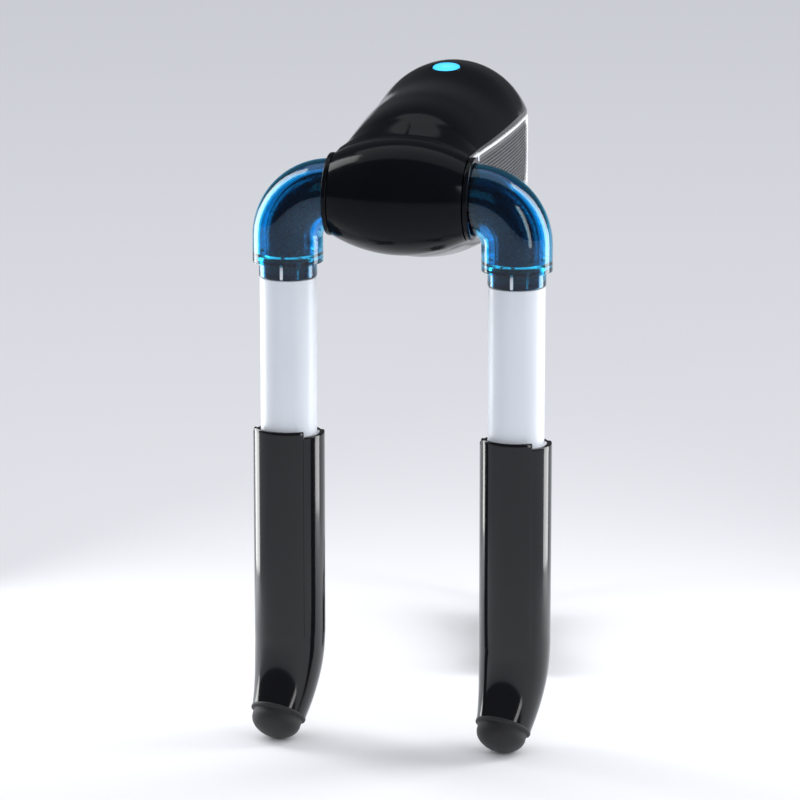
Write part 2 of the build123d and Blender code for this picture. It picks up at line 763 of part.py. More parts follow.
    foot_plane = tip_plane(x, tip_bend_angle)
    foot_length = foot_straight + foot_dome
    foot_side = Plane(origin=foot_plane.origin, x_dir=foot_plane.x_dir, z_dir=foot_plane.y_dir)
    with BuildPart() as foot:
        with BuildSketch(foot_side):
            with BuildLine():
                Line((0, 0), (0, -foot_length))
                ThreePointArc((0, -foot_length), (foot_radius * 0.76, -foot_straight - foot_dome * 0.62),
                              (foot_radius, -foot_straight))
                Line((foot_radius, -foot_straight), (foot_radius, -1.6))
                Line((foot_radius, -1.6), (tip_radius + 0.3, -1.2))
                Line((tip_radius + 0.3, -1.2), (tip_radius + 0.3, 0))
                Line((tip_radius + 0.3, 0), (0, 0))
            make_face()
        revolve(axis=Axis(foot_plane.origin, foot_plane.z_dir))
        inner_radius = foot_radius - foot_wall
        with BuildSketch(foot_side):
            with BuildLine():
                Line((0, 0), (0, foot_wall - foot_length))
                ThreePointArc((0, foot_wall - foot_length),
                              (inner_radius * 0.76, -foot_straight - (foot_dome - foot_wall) * 0.62),
                              (inner_radius, -foot_straight))
                Line((inner_radius, -foot_straight), (inner_radius, 0))
                Line((inner_radius, 0), (0, 0))
            make_face()
        revolve(axis=Axis(foot_plane.origin, foot_plane.z_dir), mode=Mode.SUBTRACT)
        # air slots through the toe side
        for row in range(outlet_rows):
            height = foot_plane.origin.Z - 3.2 - row * outlet_pitch
            with BuildSketch(leg_plane(x, height)):
                with Locations((0, -60)):
                    Rectangle(outlet_width, 80)
            extrude(amount=-outlet_gap, mode=Mode.SUBTRACT)
    save(foot, f"{name}_foot")

# The surface under the feet, where the cord and its hank lie
floor = foot.part.bounding_box().min.Z

# Strain relief, gripped between the case halves, and the clamp inside them
with BuildPart() as strain_relief:
    with BuildSketch(Plane(origin=(cord_x, 0, parting), x_dir=(1, 0, 0), z_dir=(0, 0, 1))):
        with BuildLine():
            Polyline((0, relief_start - 4), (relief_tip_radius, relief_start - 4), (relief_tip_radius, relief_start),
                     (relief_flange_radius, relief_start), (relief_flange_radius, relief_start + relief_flange),
                     (relief_neck_radius, relief_start + relief_flange), (relief_neck_radius, relief_front),
                     (relief_tip_radius, relief_end), (0, relief_end), close=True)
        make_face()
    revolve(axis=Axis((cord_x, 0, parting), (0, 1, 0)))
    for number in range(relief_groove_count):
        place = relief_front + 8 + number * relief_groove_pitch
        with BuildSketch(Plane(origin=(cord_x, place, parting), x_dir=(1, 0, 0), z_dir=(0, 1, 0))):
            Circle(relief_neck_radius + 1)
            Circle(cord_diameter / 2 + 0.5, mode=Mode.SUBTRACT)
        extrude(amount=1.2, mode=Mode.SUBTRACT)
save(strain_relief, "strain_relief")

# Free cord: out of the relief, over and down to the surface, then in to the hank
hank_angle = math.radians(12.0)
hank_axis = Vector(math.sin(hank_angle), -math.cos(hank_angle), 0)
hank_centre = Vector(18.9, head_length - 4.0, floor)
hank_end_radius = 15.8
hank_reach = 36.0
hank_height = 24.5
waist_width = 16.0
waist_length = 50.0
tie_width = 6.0
tie_thickness = 1.2
hank_rear = hank_centre - hank_axis * (hank_reach + hank_end_radius)

cord_radius = cord_diameter / 2
cord_route = [
    (cord_x, relief_end, parting),
    (7.6, relief_end + 17.0, parting - 3.0),
    (6.2, relief_end + 35.0, parting - 12.0),
    (4.3, relief_end + 51.0, parting - 28.0),
    (2.6, relief_end + 61.0, parting - 52.0),
    (1.4, relief_end + 66.0, parting - 82.0),
    (1.2, relief_end + 69.0, parting - 115.0),
    (1.6, relief_end + 68.0, parting - 148.0),
    (1.9, relief_end + 67.0, parting - 180.0),
    (2.7, relief_end + 63.0, floor + 29.0),
    (4.0, relief_end + 55.0, floor + 13.5),
    (6.0, relief_end + 44.0, floor + 5.0),
    (hank_rear.X, hank_rear.Y, floor + cord_radius),
]


def corner_radii(points):
    """Each corner's radius: 0.45 of its shorter run over the tangent of half the turn there."""
    radii = []
    for before, corner, after in zip(points, points[1:], points[2:]):
        arriving = Vector(corner) - Vector(before)
        leaving = Vector(after) - Vector(corner)
        half_turn = math.radians(arriving.get_angle(leaving)) / 2
        radii.append(0.45 * min(arriving.length, leaving.length) / math.tan(half_turn))
    return radii


cord_radii = corner_radii(cord_route)
print("cord radii", [round(radius) for radius in cord_radii])
with BuildPart() as power_cord:
    with BuildLine() as cord_line:
        FilletPolyline(*cord_route, radius=cord_radii)
    with BuildSketch(Plane(origin=cord_route[0], z_dir=cord_line.line % 0)):
        Circle(cord_radius)
    sweep()
cord_length = sum(edge.length for edge in cord_line.line.edges())
print("cord tube", round(cord_length, 1), "mm, volume over section",
      round(power_cord.part.volume / (math.pi * cord_radius ** 2), 1))
save(power_cord, "power_cord")


def hank_plane(height):
    """Level plane over the hank's middle, local X along it."""
    return Plane(origin=hank_centre + Vector(0, 0, height), x_dir=hank_axis, z_dir=(0, 0, 1))


with BuildPart() as cord_hank:
    with BuildSketch(hank_plane(0)):
        with Locations((-hank_reach, 0), (hank_reach, 0)):
            Circle(hank_end_radius)
    extrude(amount=hank_height)
    with BuildSketch(hank_plane(tie_thickness)):
        Rectangle(waist_length, waist_width)
    extrude(amount=hank_height - tie_thickness)
save(cord_hank, "cord_hank")

with BuildPart() as cable_tie:
    with BuildSketch(Plane(origin=hank_centre - hank_axis * tie_width / 2,
                           x_dir=hank_axis.cross(Vector(0, 0, 1)), z_dir=hank_axis)):
        with Locations((0, -(hank_height + tie_thickness) / 2)):
            Rectangle(waist_width + 2 * tie_thickness, hank_height + tie_thickness)
        with Locations((0, -(hank_height + tie_thickness) / 2)):
            Rectangle(waist_width, hank_height - tie_thickness, mode=Mode.SUBTRACT)
    extrude(amount=tie_width)
save(cable_tie, "cable_tie")

# Plug, lying on the hank with its pins towards the rear
plug_length = 30.0
plug_width = 25.0
plug_height = 15.0
plug_grip = 16.0
pin_length = 17.5
pin_spacing = 12.7
plug_nose = hank_centre - hank_axis * 46.0 + Vector(0, 0, hank_height + plug_height / 2)


def plug_plane(along):
    """Plane across the plug, along from its nose towards its cord, facing the cord."""
    return Plane(origin=plug_nose + hank_axis * along, x_dir=hank_axis.cross(Vector(0, 0, 1)), z_dir=hank_axis)


with BuildPart() as plug_body:
    for along, share in ((0.0, 0.94), (4.0, 1.0), (plug_length * 0.6, 0.94), (plug_length, 0.62)):
        with BuildSketch(plug_plane(along)):
            RectangleRounded(plug_width * share, plug_height * (share if share > 0.9 else 0.78), 4.0)
    loft(ruled=True)
    with BuildSketch(plug_plane(plug_length)):
        Circle(4.6)
    with BuildSketch(plug_plane(plug_length + plug_grip)):
        Circle(relief_tip_radius)
    loft()
save(plug_body, "plug_body")

with BuildPart() as plug_pins:
    with BuildSketch(plug_plane(0)):
        with Locations((-pin_spacing / 2, 0), (pin_spacing / 2, 0)):
            Rectangle(1.5, 6.3)
    extrude(amount=-pin_length)
save(plug_pins, "plug_pins")
print("floor", round(floor, 3))
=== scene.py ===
import json
import math

import bmesh
import bpy
import numpy as np
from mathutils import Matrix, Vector

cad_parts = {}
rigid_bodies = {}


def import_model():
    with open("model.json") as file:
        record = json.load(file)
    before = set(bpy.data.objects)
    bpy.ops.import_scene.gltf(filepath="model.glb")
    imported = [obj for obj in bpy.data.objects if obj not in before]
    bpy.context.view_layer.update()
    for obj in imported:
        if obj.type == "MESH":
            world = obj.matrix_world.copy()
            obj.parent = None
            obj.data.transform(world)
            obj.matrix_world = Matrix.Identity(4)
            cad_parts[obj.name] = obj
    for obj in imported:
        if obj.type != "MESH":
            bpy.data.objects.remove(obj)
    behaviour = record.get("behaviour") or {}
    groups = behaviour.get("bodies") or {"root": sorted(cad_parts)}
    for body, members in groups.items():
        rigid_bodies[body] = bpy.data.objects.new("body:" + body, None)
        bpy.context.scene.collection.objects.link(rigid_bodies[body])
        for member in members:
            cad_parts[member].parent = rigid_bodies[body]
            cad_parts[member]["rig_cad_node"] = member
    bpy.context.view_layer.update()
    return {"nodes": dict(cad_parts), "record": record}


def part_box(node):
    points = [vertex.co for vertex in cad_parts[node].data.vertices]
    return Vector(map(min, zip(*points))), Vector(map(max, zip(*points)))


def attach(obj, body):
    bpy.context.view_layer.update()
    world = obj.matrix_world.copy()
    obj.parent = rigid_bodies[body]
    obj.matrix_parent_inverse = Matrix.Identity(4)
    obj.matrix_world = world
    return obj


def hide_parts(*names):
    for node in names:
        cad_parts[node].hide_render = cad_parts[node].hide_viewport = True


bl_info = {
    "name": "Boot dryer",
    "version": (1, 0, 0),
    "blender": (4, 5, 0),
    "location": "3D View > Sidebar > Boot dryer",
    "description": "Finishes a two-tube boot dryer around its packed frame",
    "category": "Object",
}

MM = 0.001
FINISHES = {}
SIDES = ((-1, "left"), (1, "right"))
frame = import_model()


def top_of(node):
    """The node's highest z, in mm."""
    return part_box(node)[1].z / MM


def foot_of(node):
    """The node's lowest z, in mm."""
    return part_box(node)[0].z / MM


# Places read from the frame, in mm from the middle of the barrel
TUBE_X = (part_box("right_inner_tube")[0].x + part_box("right_inner_tube")[1].x) / 2 / MM
BARREL_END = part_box("right_swivel_bush")[1].x / MM
COLLAR_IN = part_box("right_ring_collar")[0].x / MM
COLLAR_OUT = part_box("right_ring_collar")[1].x / MM
COLLAR_R = top_of("right_ring_collar")
ELBOW_R = top_of("right_elbow_shell")
BUSH_R = top_of("right_swivel_bush")
NECK_END = foot_of("right_elbow_shell")
INNER_TOP = top_of("right_inner_tube")
INNER_END = foot_of("right_inner_tube")
STRIP_TOP = top_of("right_cover_strip")
STRIP_END = foot_of("right_cover_strip")
RIM = top_of("right_outer_tube")
FLOOR = foot_of("right_foot")

# Shapes that the frame's boxes don't give, in mm
WALL = 2.2
BARREL_MID_R = 26.5
ELBOW_BEND = 20.0
ELBOW_WALL = 2.0
SHOULDER = -31.5
NECK_R = 13.2
NECK_WALL = 1.4
INNER_R = 12.8
INNER_WALL = 2.1
OUTER_R = 16.3
OUTER_WALL = 2.4
TIP_BEND = 62.0
TIP_TURN = math.radians(36.0)
TIP_R = 12.6
STRIP_HALF = math.radians(53.0)
STRIP_EDGES = (STRIP_HALF, -STRIP_HALF)
STRIP_DEPTH = 1.2
REST_TURN = math.radians(14.0)
WINDOW_FRONT = 21.0
WINDOW_REAR = 134.0
WINDOW_HALF = 15.6
TRIM_BAND = 1.8
TRIM_TAIL = 13.0
BUTTON_AT = (0.0, 100.0, 42.6)
BUTTON_TILT = math.radians(9.0)
BUTTON_R = 6.4
FOOT_R = 11.4
FOOT_SLOT_HALF = 0.85       # half angle of the foot's air slots, in radians
RIM_DEPTH = 6.0             # how far the outer tube's rolled rim reaches down its bore
UP = np.array([0.0, 0.0, 1.0])


# Settings that a user would change

class DRYER_PG_finish(bpy.types.PropertyGroup):
    """Colours and finishes of the dryer."""
    case_colour: bpy.props.FloatVectorProperty(
        name="Case colour", description="Gloss plastic of the head and barrel", subtype="COLOR",
        size=3, min=0, max=1, default=(0.0025, 0.003, 0.0045))
    case_roughness: bpy.props.FloatProperty(
        name="Case roughness", description="Gloss of the case", subtype="FACTOR", min=0, max=1, default=0.13)
    elbow_colour: bpy.props.FloatVectorProperty(
        name="Elbow tint", description="Tint of the clear elbows", subtype="COLOR",
        size=3, min=0, max=1, default=(0.015, 0.46, 0.80))
    tube_colour: bpy.props.FloatVectorProperty(
        name="Inner tube colour", description="Satin plastic of the upper tubes", subtype="COLOR",
        size=3, min=0, max=1, default=(0.60, 0.63, 0.675))
    trim_colour: bpy.props.FloatVectorProperty(
        name="Trim colour", description="Satin metal round the intake windows", subtype="COLOR",
        size=3, min=0, max=1, default=(0.80, 0.81, 0.83))
    glow_colour: bpy.props.FloatVectorProperty(
        name="Button glow", description="Light of the power button", subtype="COLOR",
        size=3, min=0, max=1, default=(0.03, 0.44, 0.80))
    glow_strength: bpy.props.FloatProperty(
        name="Glow strength", description="How brightly the button is lit", min=0, max=20, default=0.75)


class DRYER_PG_details(bpy.types.PropertyGroup):
    """Sizes of the fine detail."""
    mesh_pitch: bpy.props.FloatProperty(
        name="Mesh pitch", description="Distance between holes in the intake grilles",
        subtype="DISTANCE", unit="LENGTH", min=0.001, max=0.01, default=0.0019)
    mesh_bar: bpy.props.FloatProperty(
        name="Mesh bar", description="Width of the bars between the holes",
        subtype="DISTANCE", unit="LENGTH", min=0.0002, max=0.003, default=0.0006)
    trim_proud: bpy.props.FloatProperty(
        name="Trim height", description="How far the trim stands above the case",
        subtype="DISTANCE", unit="LENGTH", min=0, max=0.002, default=0.0005)
    cord_diameter: bpy.props.FloatProperty(
        name="Cord diameter", description="Outside diameter of the lead",
        subtype="DISTANCE", unit="LENGTH", min=0.002, max=0.01, default=0.0044)


class DRYER_PG_stage(bpy.types.PropertyGroup):
    """Camera, floor and lights."""
    azimuth: bpy.props.FloatProperty(
        name="Azimuth", description="Camera angle round from the toe side", subtype="ANGLE",
        unit="ROTATION", default=math.radians(12.0))
    elevation: bpy.props.FloatProperty(
        name="Elevation", description="Camera angle above the horizon", subtype="ANGLE",
        unit="ROTATION", default=math.radians(13.3))
    lens: bpy.props.FloatProperty(
        name="Lens", description="Focal length", subtype="DISTANCE_CAMERA", unit="CAMERA", default=200.0)
    fill: bpy.props.FloatProperty(
        name="Fill", description="Share of the picture that the dryer fills", subtype="FACTOR",
        min=0.2, max=1, default=0.87)
    floor_colour: bpy.props.FloatVectorProperty(
        name="Floor colour", description="Paper under and behind the dryer", subtype="COLOR",
        size=3, min=0, max=1, default=(0.66, 0.665, 0.68))
    light_strength: bpy.props.FloatProperty(
        name="Light strength", description="Scale of every studio light", min=0, max=10, default=1.0)


# Geometry helpers

def quads(rows, cols, close_rows=False, close_cols=False):
    """Corner numbers of the four-sided faces of a rows by cols grid of points."""
    r = np.arange(rows if close_rows else rows - 1)[:, None]
    c = np.arange(cols if close_cols else cols - 1)[None, :]
    r2, c2 = (r + 1) % rows, (c + 1) % cols
    return np.stack([r * cols + c, r * cols + c2, r2 * cols + c2, r2 * cols + c], -1).reshape(-1, 4)


def grid(points, close_rows=False, close_cols=False, keep=None):
    """A patch: its points as a list, and its faces, or only those where keep is true."""
    faces = quads(*points.shape[:2], close_rows, close_cols)
    return points.reshape(-1, 3), faces if keep is None else faces[keep.ravel()]


def add_object(name, data):
    """A new object for the data, in the scene."""
    thing = bpy.data.objects.new(name, data)
    bpy.context.scene.collection.objects.link(thing)
    return thing


def make_piece(name, patches, finish, body, stands_for=(), weld=0.004, sharp=38.0):
    """One mesh from patches of points in mm: welded, turned outwards, shaded smooth, riding on body."""
    starts = np.cumsum([0] + [len(points) for points, _ in patches])
    corners = np.concatenate([points for points, _ in patches]) * MM
    faces = np.concatenate([faces + start for (_, faces), start in zip(patches, starts)])
    mesh = bpy.data.meshes.new(name)
    mesh.from_pydata(corners.tolist(), [], faces.tolist())
    work = bmesh.new()
    work.from_mesh(mesh)
    bmesh.ops.remove_doubles(work, verts=work.verts, dist=weld * MM)
    bmesh.ops.dissolve_degenerate(work, edges=work.edges, dist=weld * MM * 0.2)
    bmesh.ops.recalc_face_normals(work, faces=work.faces)
    work.to_mesh(mesh)
    work.free()
    mesh.polygons.foreach_set("use_smooth", np.ones(len(mesh.polygons), bool))
    mesh.set_sharp_from_angle(angle=math.radians(sharp))
    piece = add_object(name, mesh)
    dress(piece, finish)
    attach(piece, body)
    if stands_for:
        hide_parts(*stands_for)
    return piece


def dress(piece, finish):
    """Gives the piece one finish, by its slot name."""
    piece.data.materials.clear()
    piece.data.materials.append(finish_of(finish))


def smooth(knots, values, at):
    """Cubic through values at the knots, whose slope at each knot is the mean of the chords beside it."""
    steps = np.diff(knots)
    chords = np.diff(values) / steps
    slopes = np.empty(len(knots))
    slopes[1:-1] = (chords[:-1] * steps[1:] + chords[1:] * steps[:-1]) / (steps[1:] + steps[:-1])
    slopes[0], slopes[-1] = chords[0], chords[-1]
    k = np.clip(np.searchsorted(knots, at, side="right") - 1, 0, len(steps) - 1)
    t = (at - knots[k]) / steps[k]
    return ((2 * t ** 3 - 3 * t ** 2 + 1) * values[k] + (t ** 3 - 2 * t ** 2 + t) * steps[k] * slopes[k]
            + (3 * t ** 2 - 2 * t ** 3) * values[k + 1] + (t ** 3 - t ** 2) * steps[k] * slopes[k + 1])


def smooth_max(a, b, k):
    """The larger of a and b, rounded over where they are within k of each other."""
    k = np.maximum(k, 1e-6)
    h = np.maximum(k - np.abs(a - b), 0) / k
    return np.maximum(a, b) + h * h * k / 4


def resample(points, count):
    """count points evenly spaced along a line of points, ends included."""
    points = np.asarray(points, float)
    along = np.concatenate([[0], np.cumsum(np.linalg.norm(np.diff(points, axis=0), axis=1))])
    at = np.linspace(0, along[-1], count)
    return np.stack([np.interp(at, along, points[:, k]) for k in range(points.shape[1])], -1)


def arc_through(a, b, c, count):
    """Points of the plane arc from a through b to c."""
    a, b, c = (np.asarray(p, float) for p in (a, b, c))
    lhs = 2 * np.array([b - a, c - a])
    centre = np.linalg.solve(lhs, np.array([b @ b - a @ a, c @ c - a @ a]))
    turns = [math.atan2(*(p - centre)[::-1]) for p in (a, b, c)]
    first = (turns[1] - turns[0] + math.pi) % (2 * math.pi) - math.pi
    whole = (turns[2] - turns[0]) % (2 * math.pi)
    whole = whole if first > 0 else whole - 2 * math.pi
    angles = turns[0] + whole * np.linspace(0, 1, count)
    return centre + np.linalg.norm(a - centre) * np.stack([np.cos(angles), np.sin(angles)], -1)


def rounded(profile, radius, steps=4):
    """A line of points with each inner corner rounded by an arc-like curve of about that radius."""
    profile = [np.asarray(p, float) for p in profile]
    line = [profile[0]]
    t = np.linspace(0, 1, steps + 1)[:, None]
    for before, corner, after in zip(profile, profile[1:], profile[2:]):
        r_in = min(radius, np.linalg.norm(corner - before) * 0.45)
        r_out = min(radius, np.linalg.norm(after - corner) * 0.45)
        start = corner + (before - corner) / max(np.linalg.norm(before - corner), 1e-9) * r_in
        end = corner + (after - corner) / max(np.linalg.norm(after - corner), 1e-9) * r_out
        line += list((1 - t) ** 2 * start + 2 * t * (1 - t) * corner + t ** 2 * end)
    return np.array(line + [profile[-1]])


# The head's form

# Along the head: place, half width, crown, flank's upper edge, flank's lower edge, belly
HEAD = np.array([
    (0.0, 30.5, 20.5, 18.8, -18.8, -20.5),
    (12.0, 30.55, 27.0, 18.8, -18.8, -26.2),
    (25.0, 30.9, 33.6, 18.9, -18.9, -31.8),
    (50.0, 32.3, 38.0, 19.2, -19.2, -37.4),
    (80.0, 33.3, 39.9, 19.6, -19.6, -42.2),
    (108.0, 33.5, 44.2, 20.0, -20.0, -43.9),
    (134.0, 32.1, 40.0, 18.4, -18.2, -37.2),
    (150.0, 27.9, 29.2, 13.6, -13.8, -25.4),
    (159.0, 19.2, 15.6, 7.4, -8.0, -13.2),
    (162.0, 10.0, 6.8, 3.4, -4.0, -6.0),
    (162.9, 0.0, 0.4, 0.2, -0.2, -0.4),
])
HEAD_STEPS = np.concatenate([[0], np.cumsum(np.linalg.norm(np.diff(HEAD[:, :3], axis=0), axis=1))])
HEAD_LINE = np.linspace(0, 1, 321)
HEAD_TABLE = np.stack([smooth(HEAD_STEPS, HEAD[:, k], HEAD_LINE * HEAD_STEPS[-1]) for k in range(6)], -1)
HEAD_TABLE[:, 0] = np.maximum.accumulate(HEAD_TABLE[:, 0])


def head_at(y, column):
    """One column of the head's table at y: 1 half width, 2 crown, 3 upper edge, 4 lower edge, 5 belly."""
    return np.interp(y, HEAD_TABLE[:, 0], HEAD_TABLE[:, column])


def barrel_radius(x):
    """The barrel's radius at x: one arc over its length, fullest in the middle."""
    rise = BARREL_MID_R - COLLAR_R
    bow = (BARREL_END ** 2 + rise ** 2) / (2 * rise)
    return BARREL_MID_R - bow + np.sqrt(bow ** 2 - np.clip(x, -BARREL_END, BARREL_END) ** 2)


def crowned(x, half, crown, edge):
    """Height over x of the arc from edge at +-half over crown in the middle."""
    rise = np.maximum(crown - edge, 1e-3)
    bow = (half ** 2 + rise ** 2) / (2 * rise)
    return crown - bow + np.sqrt(np.maximum(bow ** 2 - x ** 2, 0))


def ease(y, reach):
    """0 at y = 0, 1 from y = reach, level at both."""
    t = np.clip(y / reach, 0, 1)
    return t * t * (3 - 2 * t)


def roof_height(x, y, half, crown, edge):
    """The roof blended into the barrel, with the short moulding groove where they meet."""
    barrel = np.sqrt(np.maximum(barrel_radius(x) ** 2 - y ** 2, 0))
    height = smooth_max(barrel, crowned(x, half, crown, edge), 18 * ease(y, 24))
    groove = 0.5 * np.exp(-(x / 0.45) ** 2) * ease(y - 8, 3) * ease(19 - y, 3)
    return height - groove


def belly_height(x, y, half, belly, edge):
    """The belly blended into the underside of the barrel."""
    barrel = np.sqrt(np.maximum(barrel_radius(x) ** 2 - y ** 2, 0))
    return -smooth_max(barrel, crowned(x, half, -belly, -edge), 14 * ease(y, 20))


def across_share(count):
    """Shares of the half width from -1 to 1, closer together at the middle and at the edges."""
    t = np.linspace(-1, 1, count)
    return t - 0.12 * np.sin(2 * np.pi * t) / np.pi


def roof_grid(cols=141):
    """Roof and barrel front: x = share of the half width; from the tail forward over the crown,
    then round the barrel's front to its underside."""
    y, half, crown, edge = (HEAD_TABLE[::-2, k][:, None] for k in (0, 1, 2, 3))
    share = across_share(cols)[None, :]
    x = share * half
    back = np.stack(np.broadcast_arrays(x, y, roof_height(x, y, half, crown, edge)), -1)
    turn = np.radians(np.linspace(90, 270, 73))[1:, None]
    x = np.broadcast_to(share * BARREL_END, (72, cols))
    front = np.stack([x, barrel_radius(x) * np.cos(turn), barrel_radius(x) * np.sin(turn)], -1)
    return np.concatenate([back, front])


def belly_grid(cols=141):
    """Belly: the same shares of the half width, from the barrel's underside back to the tail."""
    y, half, edge, belly = (HEAD_TABLE[::2, k][:, None] for k in (0, 1, 4, 5))
    x = across_share(cols)[None, :] * half
    return np.stack(np.broadcast_arrays(x, y, belly_height(x, y, half, belly, edge)), -1)


def inward(points, depth):
    """Points moved into the surface by depth, along normals found from the grid's own differences."""
    normal = np.cross(np.gradient(points, axis=0), np.gradient(points, axis=1))
    length = np.linalg.norm(normal, axis=-1, keepdims=True)
    normal = normal / np.maximum(length, 1e-9)
    centre = np.array([0, np.mean(points[..., 1]), 0])
    normal *= np.sign((normal * (points - centre)).sum(-1, keepdims=True))
    return points - normal * depth


def walls(outer, inner):
    """Strips that close the two ends and the two sides between an outer and an inner grid."""
    return [grid(np.stack([outer[k], inner[k]])) for k in (0, -1)] \
        + [grid(np.stack([outer[:, k], inner[:, k]])) for k in (0, -1)]


def on_flank(side, outline, lift=0.0):
    """Points (y, z) laid on that flank: x is the half width at y, plus lift."""
    y, z = outline[..., 0], outline[..., 1]
    x = np.where(y > 0, head_at(np.maximum(y, 0), 1), BARREL_END) + lift
    return np.stack([side * x, y, z], -1)


def window_outline(grow, parts=(60, 30, 60, 16)):
    """The intake window's outline from its lower front corner: bottom, tail, top, front."""
    front, rear, half = WINDOW_FRONT - grow, WINDOW_REAR + grow, WINDOW_HALF + grow
    return outline_of(front, half, rear - 5, (rear, 0), parts)


def trim_outline(grow, parts=(60, 30, 60, 16)):
    """The trim's outer edge: a slot that ends in a wide crescent."""
    front, rear, half = WINDOW_FRONT - TRIM_BAND - grow, WINDOW_REAR + grow, WINDOW_HALF + TRIM_BAND + grow
    return outline_of(front, half, rear - 4, (rear + TRIM_TAIL, 0), parts)


def outline_of(front, half, shoulder, tip, parts):
    """Closed outline: straight bottom, an arc through tip, straight top, straight front."""
    bottom = resample([(front, -half), (shoulder, -half)], parts[0])[:-1]
    tail = arc_through((shoulder, -half), tip, (shoulder, half), parts[1])[:-1]
    top = resample([(shoulder, half), (front, half)], parts[2])[:-1]
    face = resample([(front, half), (front, -half)], parts[3])[:-1]
    return np.concatenate([bottom, tail, top, face])


def flank_border(split, shoulder, parts=(60, 30, 60, 16)):
    """Outline of the flank behind the barrel: lower edge, round the tail, upper edge, front."""
    y = np.linspace(split, shoulder, 80)
    low = np.stack([y, head_at(y, 4)], -1)
    high = np.stack([y, head_at(y, 3)], -1)[::-1]
    rows = HEAD_TABLE[HEAD_TABLE[:, 0] > shoulder]
    tail = np.concatenate([low[-1:], rows[:, (0, 4)], rows[::-1][:, (0, 3)], high[:1]])
    return np.concatenate([resample(low, parts[0])[:-1], resample(tail, parts[1])[:-1],
                           resample(high, parts[2])[:-1],
                           resample([high[-1], low[0]], parts[3])[:-1]])


def flank_patches(side):
    """One flank: a ring round the swivel bush, and a ring between the trim and the flank's border."""
    split = WINDOW_FRONT - TRIM_BAND - 0.3
    turn = np.radians(np.linspace(0, 360, 121)[:-1])
    upper = head_at(np.clip(20 * np.cos(turn), 0, split), 3)
    reach = np.minimum(split / np.maximum(np.cos(turn), 1e-3),
                       upper / np.maximum(np.abs(np.sin(turn)), 1e-3))
    reach = np.where(np.cos(turn) > 0, reach, COLLAR_R)
    share = np.linspace(0, 1, 5)[:, None]
    radius = BUSH_R + (reach - BUSH_R) * share
    front = np.stack([radius * np.cos(turn), radius * np.sin(turn)], -1)
    trim = trim_outline(0.0)
    border = flank_border(split, WINDOW_REAR - 4)
    share = np.linspace(0, 1, 7)[:, None, None]
    rear = trim * (1 - share) + border * share
    patches = []
    for ring in (front, rear):
        outer, inner = on_flank(side, ring), on_flank(side, ring, -WALL)
        patches += [grid(outer, close_cols=True), grid(inner, close_cols=True)]
        patches += [grid(np.stack([outer[k], inner[k]]), close_cols=True) for k in (0, -1)]
    return patches


def button_frame():
    """The button's seat: its centre and its three axes, in mm."""
    c, s = math.cos(BUTTON_TILT), math.sin(BUTTON_TILT)
    return np.array(BUTTON_AT), np.array([(1, 0, 0), (0, c, s), (0, -s, c)])


def turned_about(centre, axes, profile, count=96):
    """A profile of (radius, height) turned about the third axis."""
    turn = np.linspace(0, 2 * np.pi, count + 1)[:-1]
    around = np.cos(turn)[:, None] * axes[0] + np.sin(turn)[:, None] * axes[1]
    profile = np.asarray(profile, float)
    return centre + profile[:, 0][:, None, None] * around + profile[:, 1][:, None, None] * axes[2]


def holed_roof(outer, inner, radius):
    """The roof's two grids with a block of cells round the button left out, and rings that lead from the
    block's edge to a round hole."""
    x, y = outer[..., 0], outer[..., 1]
    middle = outer.shape[1] // 2
    near = np.abs(y[:, middle] - BUTTON_AT[1]) < radius * 1.6
    rows = np.flatnonzero(near & (outer[:, middle, 2] > 30))
    cols = np.flatnonzero(np.abs(x[rows[len(rows) // 2]]) < radius * 1.6)
    r0, r1, c0, c1 = rows[0], rows[-1], cols[0], cols[-1]
    keep = np.ones((outer.shape[0] - 1, outer.shape[1] - 1), bool)
    keep[r0:r1, c0:c1] = False
    edge = [(r0, c) for c in range(c0, c1)] + [(r, c1) for r in range(r0, r1)] \
        + [(r1, c) for c in range(c1, c0, -1)] + [(r, c0) for r in range(r1, r0, -1)]
    edge = np.array(edge)
    patches = [grid(outer, keep=keep), grid(inner, keep=keep)]
    holes = []
    for layer, drop in ((outer, 0.0), (inner, WALL)):
        rim = layer[edge[:, 0], edge[:, 1]]
        turn = np.arctan2(rim[:, 1] - BUTTON_AT[1], rim[:, 0])
        hole = np.stack([radius * np.cos(turn), BUTTON_AT[1] + radius * np.sin(turn)], -1)
        share = np.linspace(0, 1, 7)[:, None, None]
        flat = rim[:, :2] * (1 - share) + hole * share
        height = roof_height(flat[..., 0], flat[..., 1], head_at(flat[..., 1], 1),
                             head_at(flat[..., 1], 2), head_at(flat[..., 1], 3)) - drop
        height[0] = rim[:, 2]
        ring = np.concatenate([flat, height[..., None]], -1)
        patches.append(grid(ring, close_cols=True))
        holes.append(ring[-1])
    return patches + [grid(np.stack(holes), close_cols=True)]


# Swept and turned forms

def elbow_path(side, s):
    """Point and tangent of an elbow's centre line at distance s from the collar's inner face."""
    lead = TUBE_X - ELBOW_BEND - COLLAR_IN
    turn = np.clip((s - lead) / ELBOW_BEND, 0, np.pi / 2)
    x = COLLAR_IN + np.minimum(s, lead) + ELBOW_BEND * np.sin(turn)
    z = -ELBOW_BEND * (1 - np.cos(turn)) - np.maximum(s - lead - ELBOW_BEND * np.pi / 2, 0)
    nought = np.zeros_like(s)
    return np.stack([side * x, nought, z], -1), np.stack([side * np.cos(turn), nought, -np.sin(turn)], -1)


def elbow_length(z):
    """Distance along the elbow's centre line to height z below its bend."""
    return TUBE_X - ELBOW_BEND - COLLAR_IN + ELBOW_BEND * np.pi / 2 - ELBOW_BEND - z


def toe_direction():
    """The way the toes point at rest, level."""
    return np.array([-math.sin(REST_TURN), -math.cos(REST_TURN), 0.0])


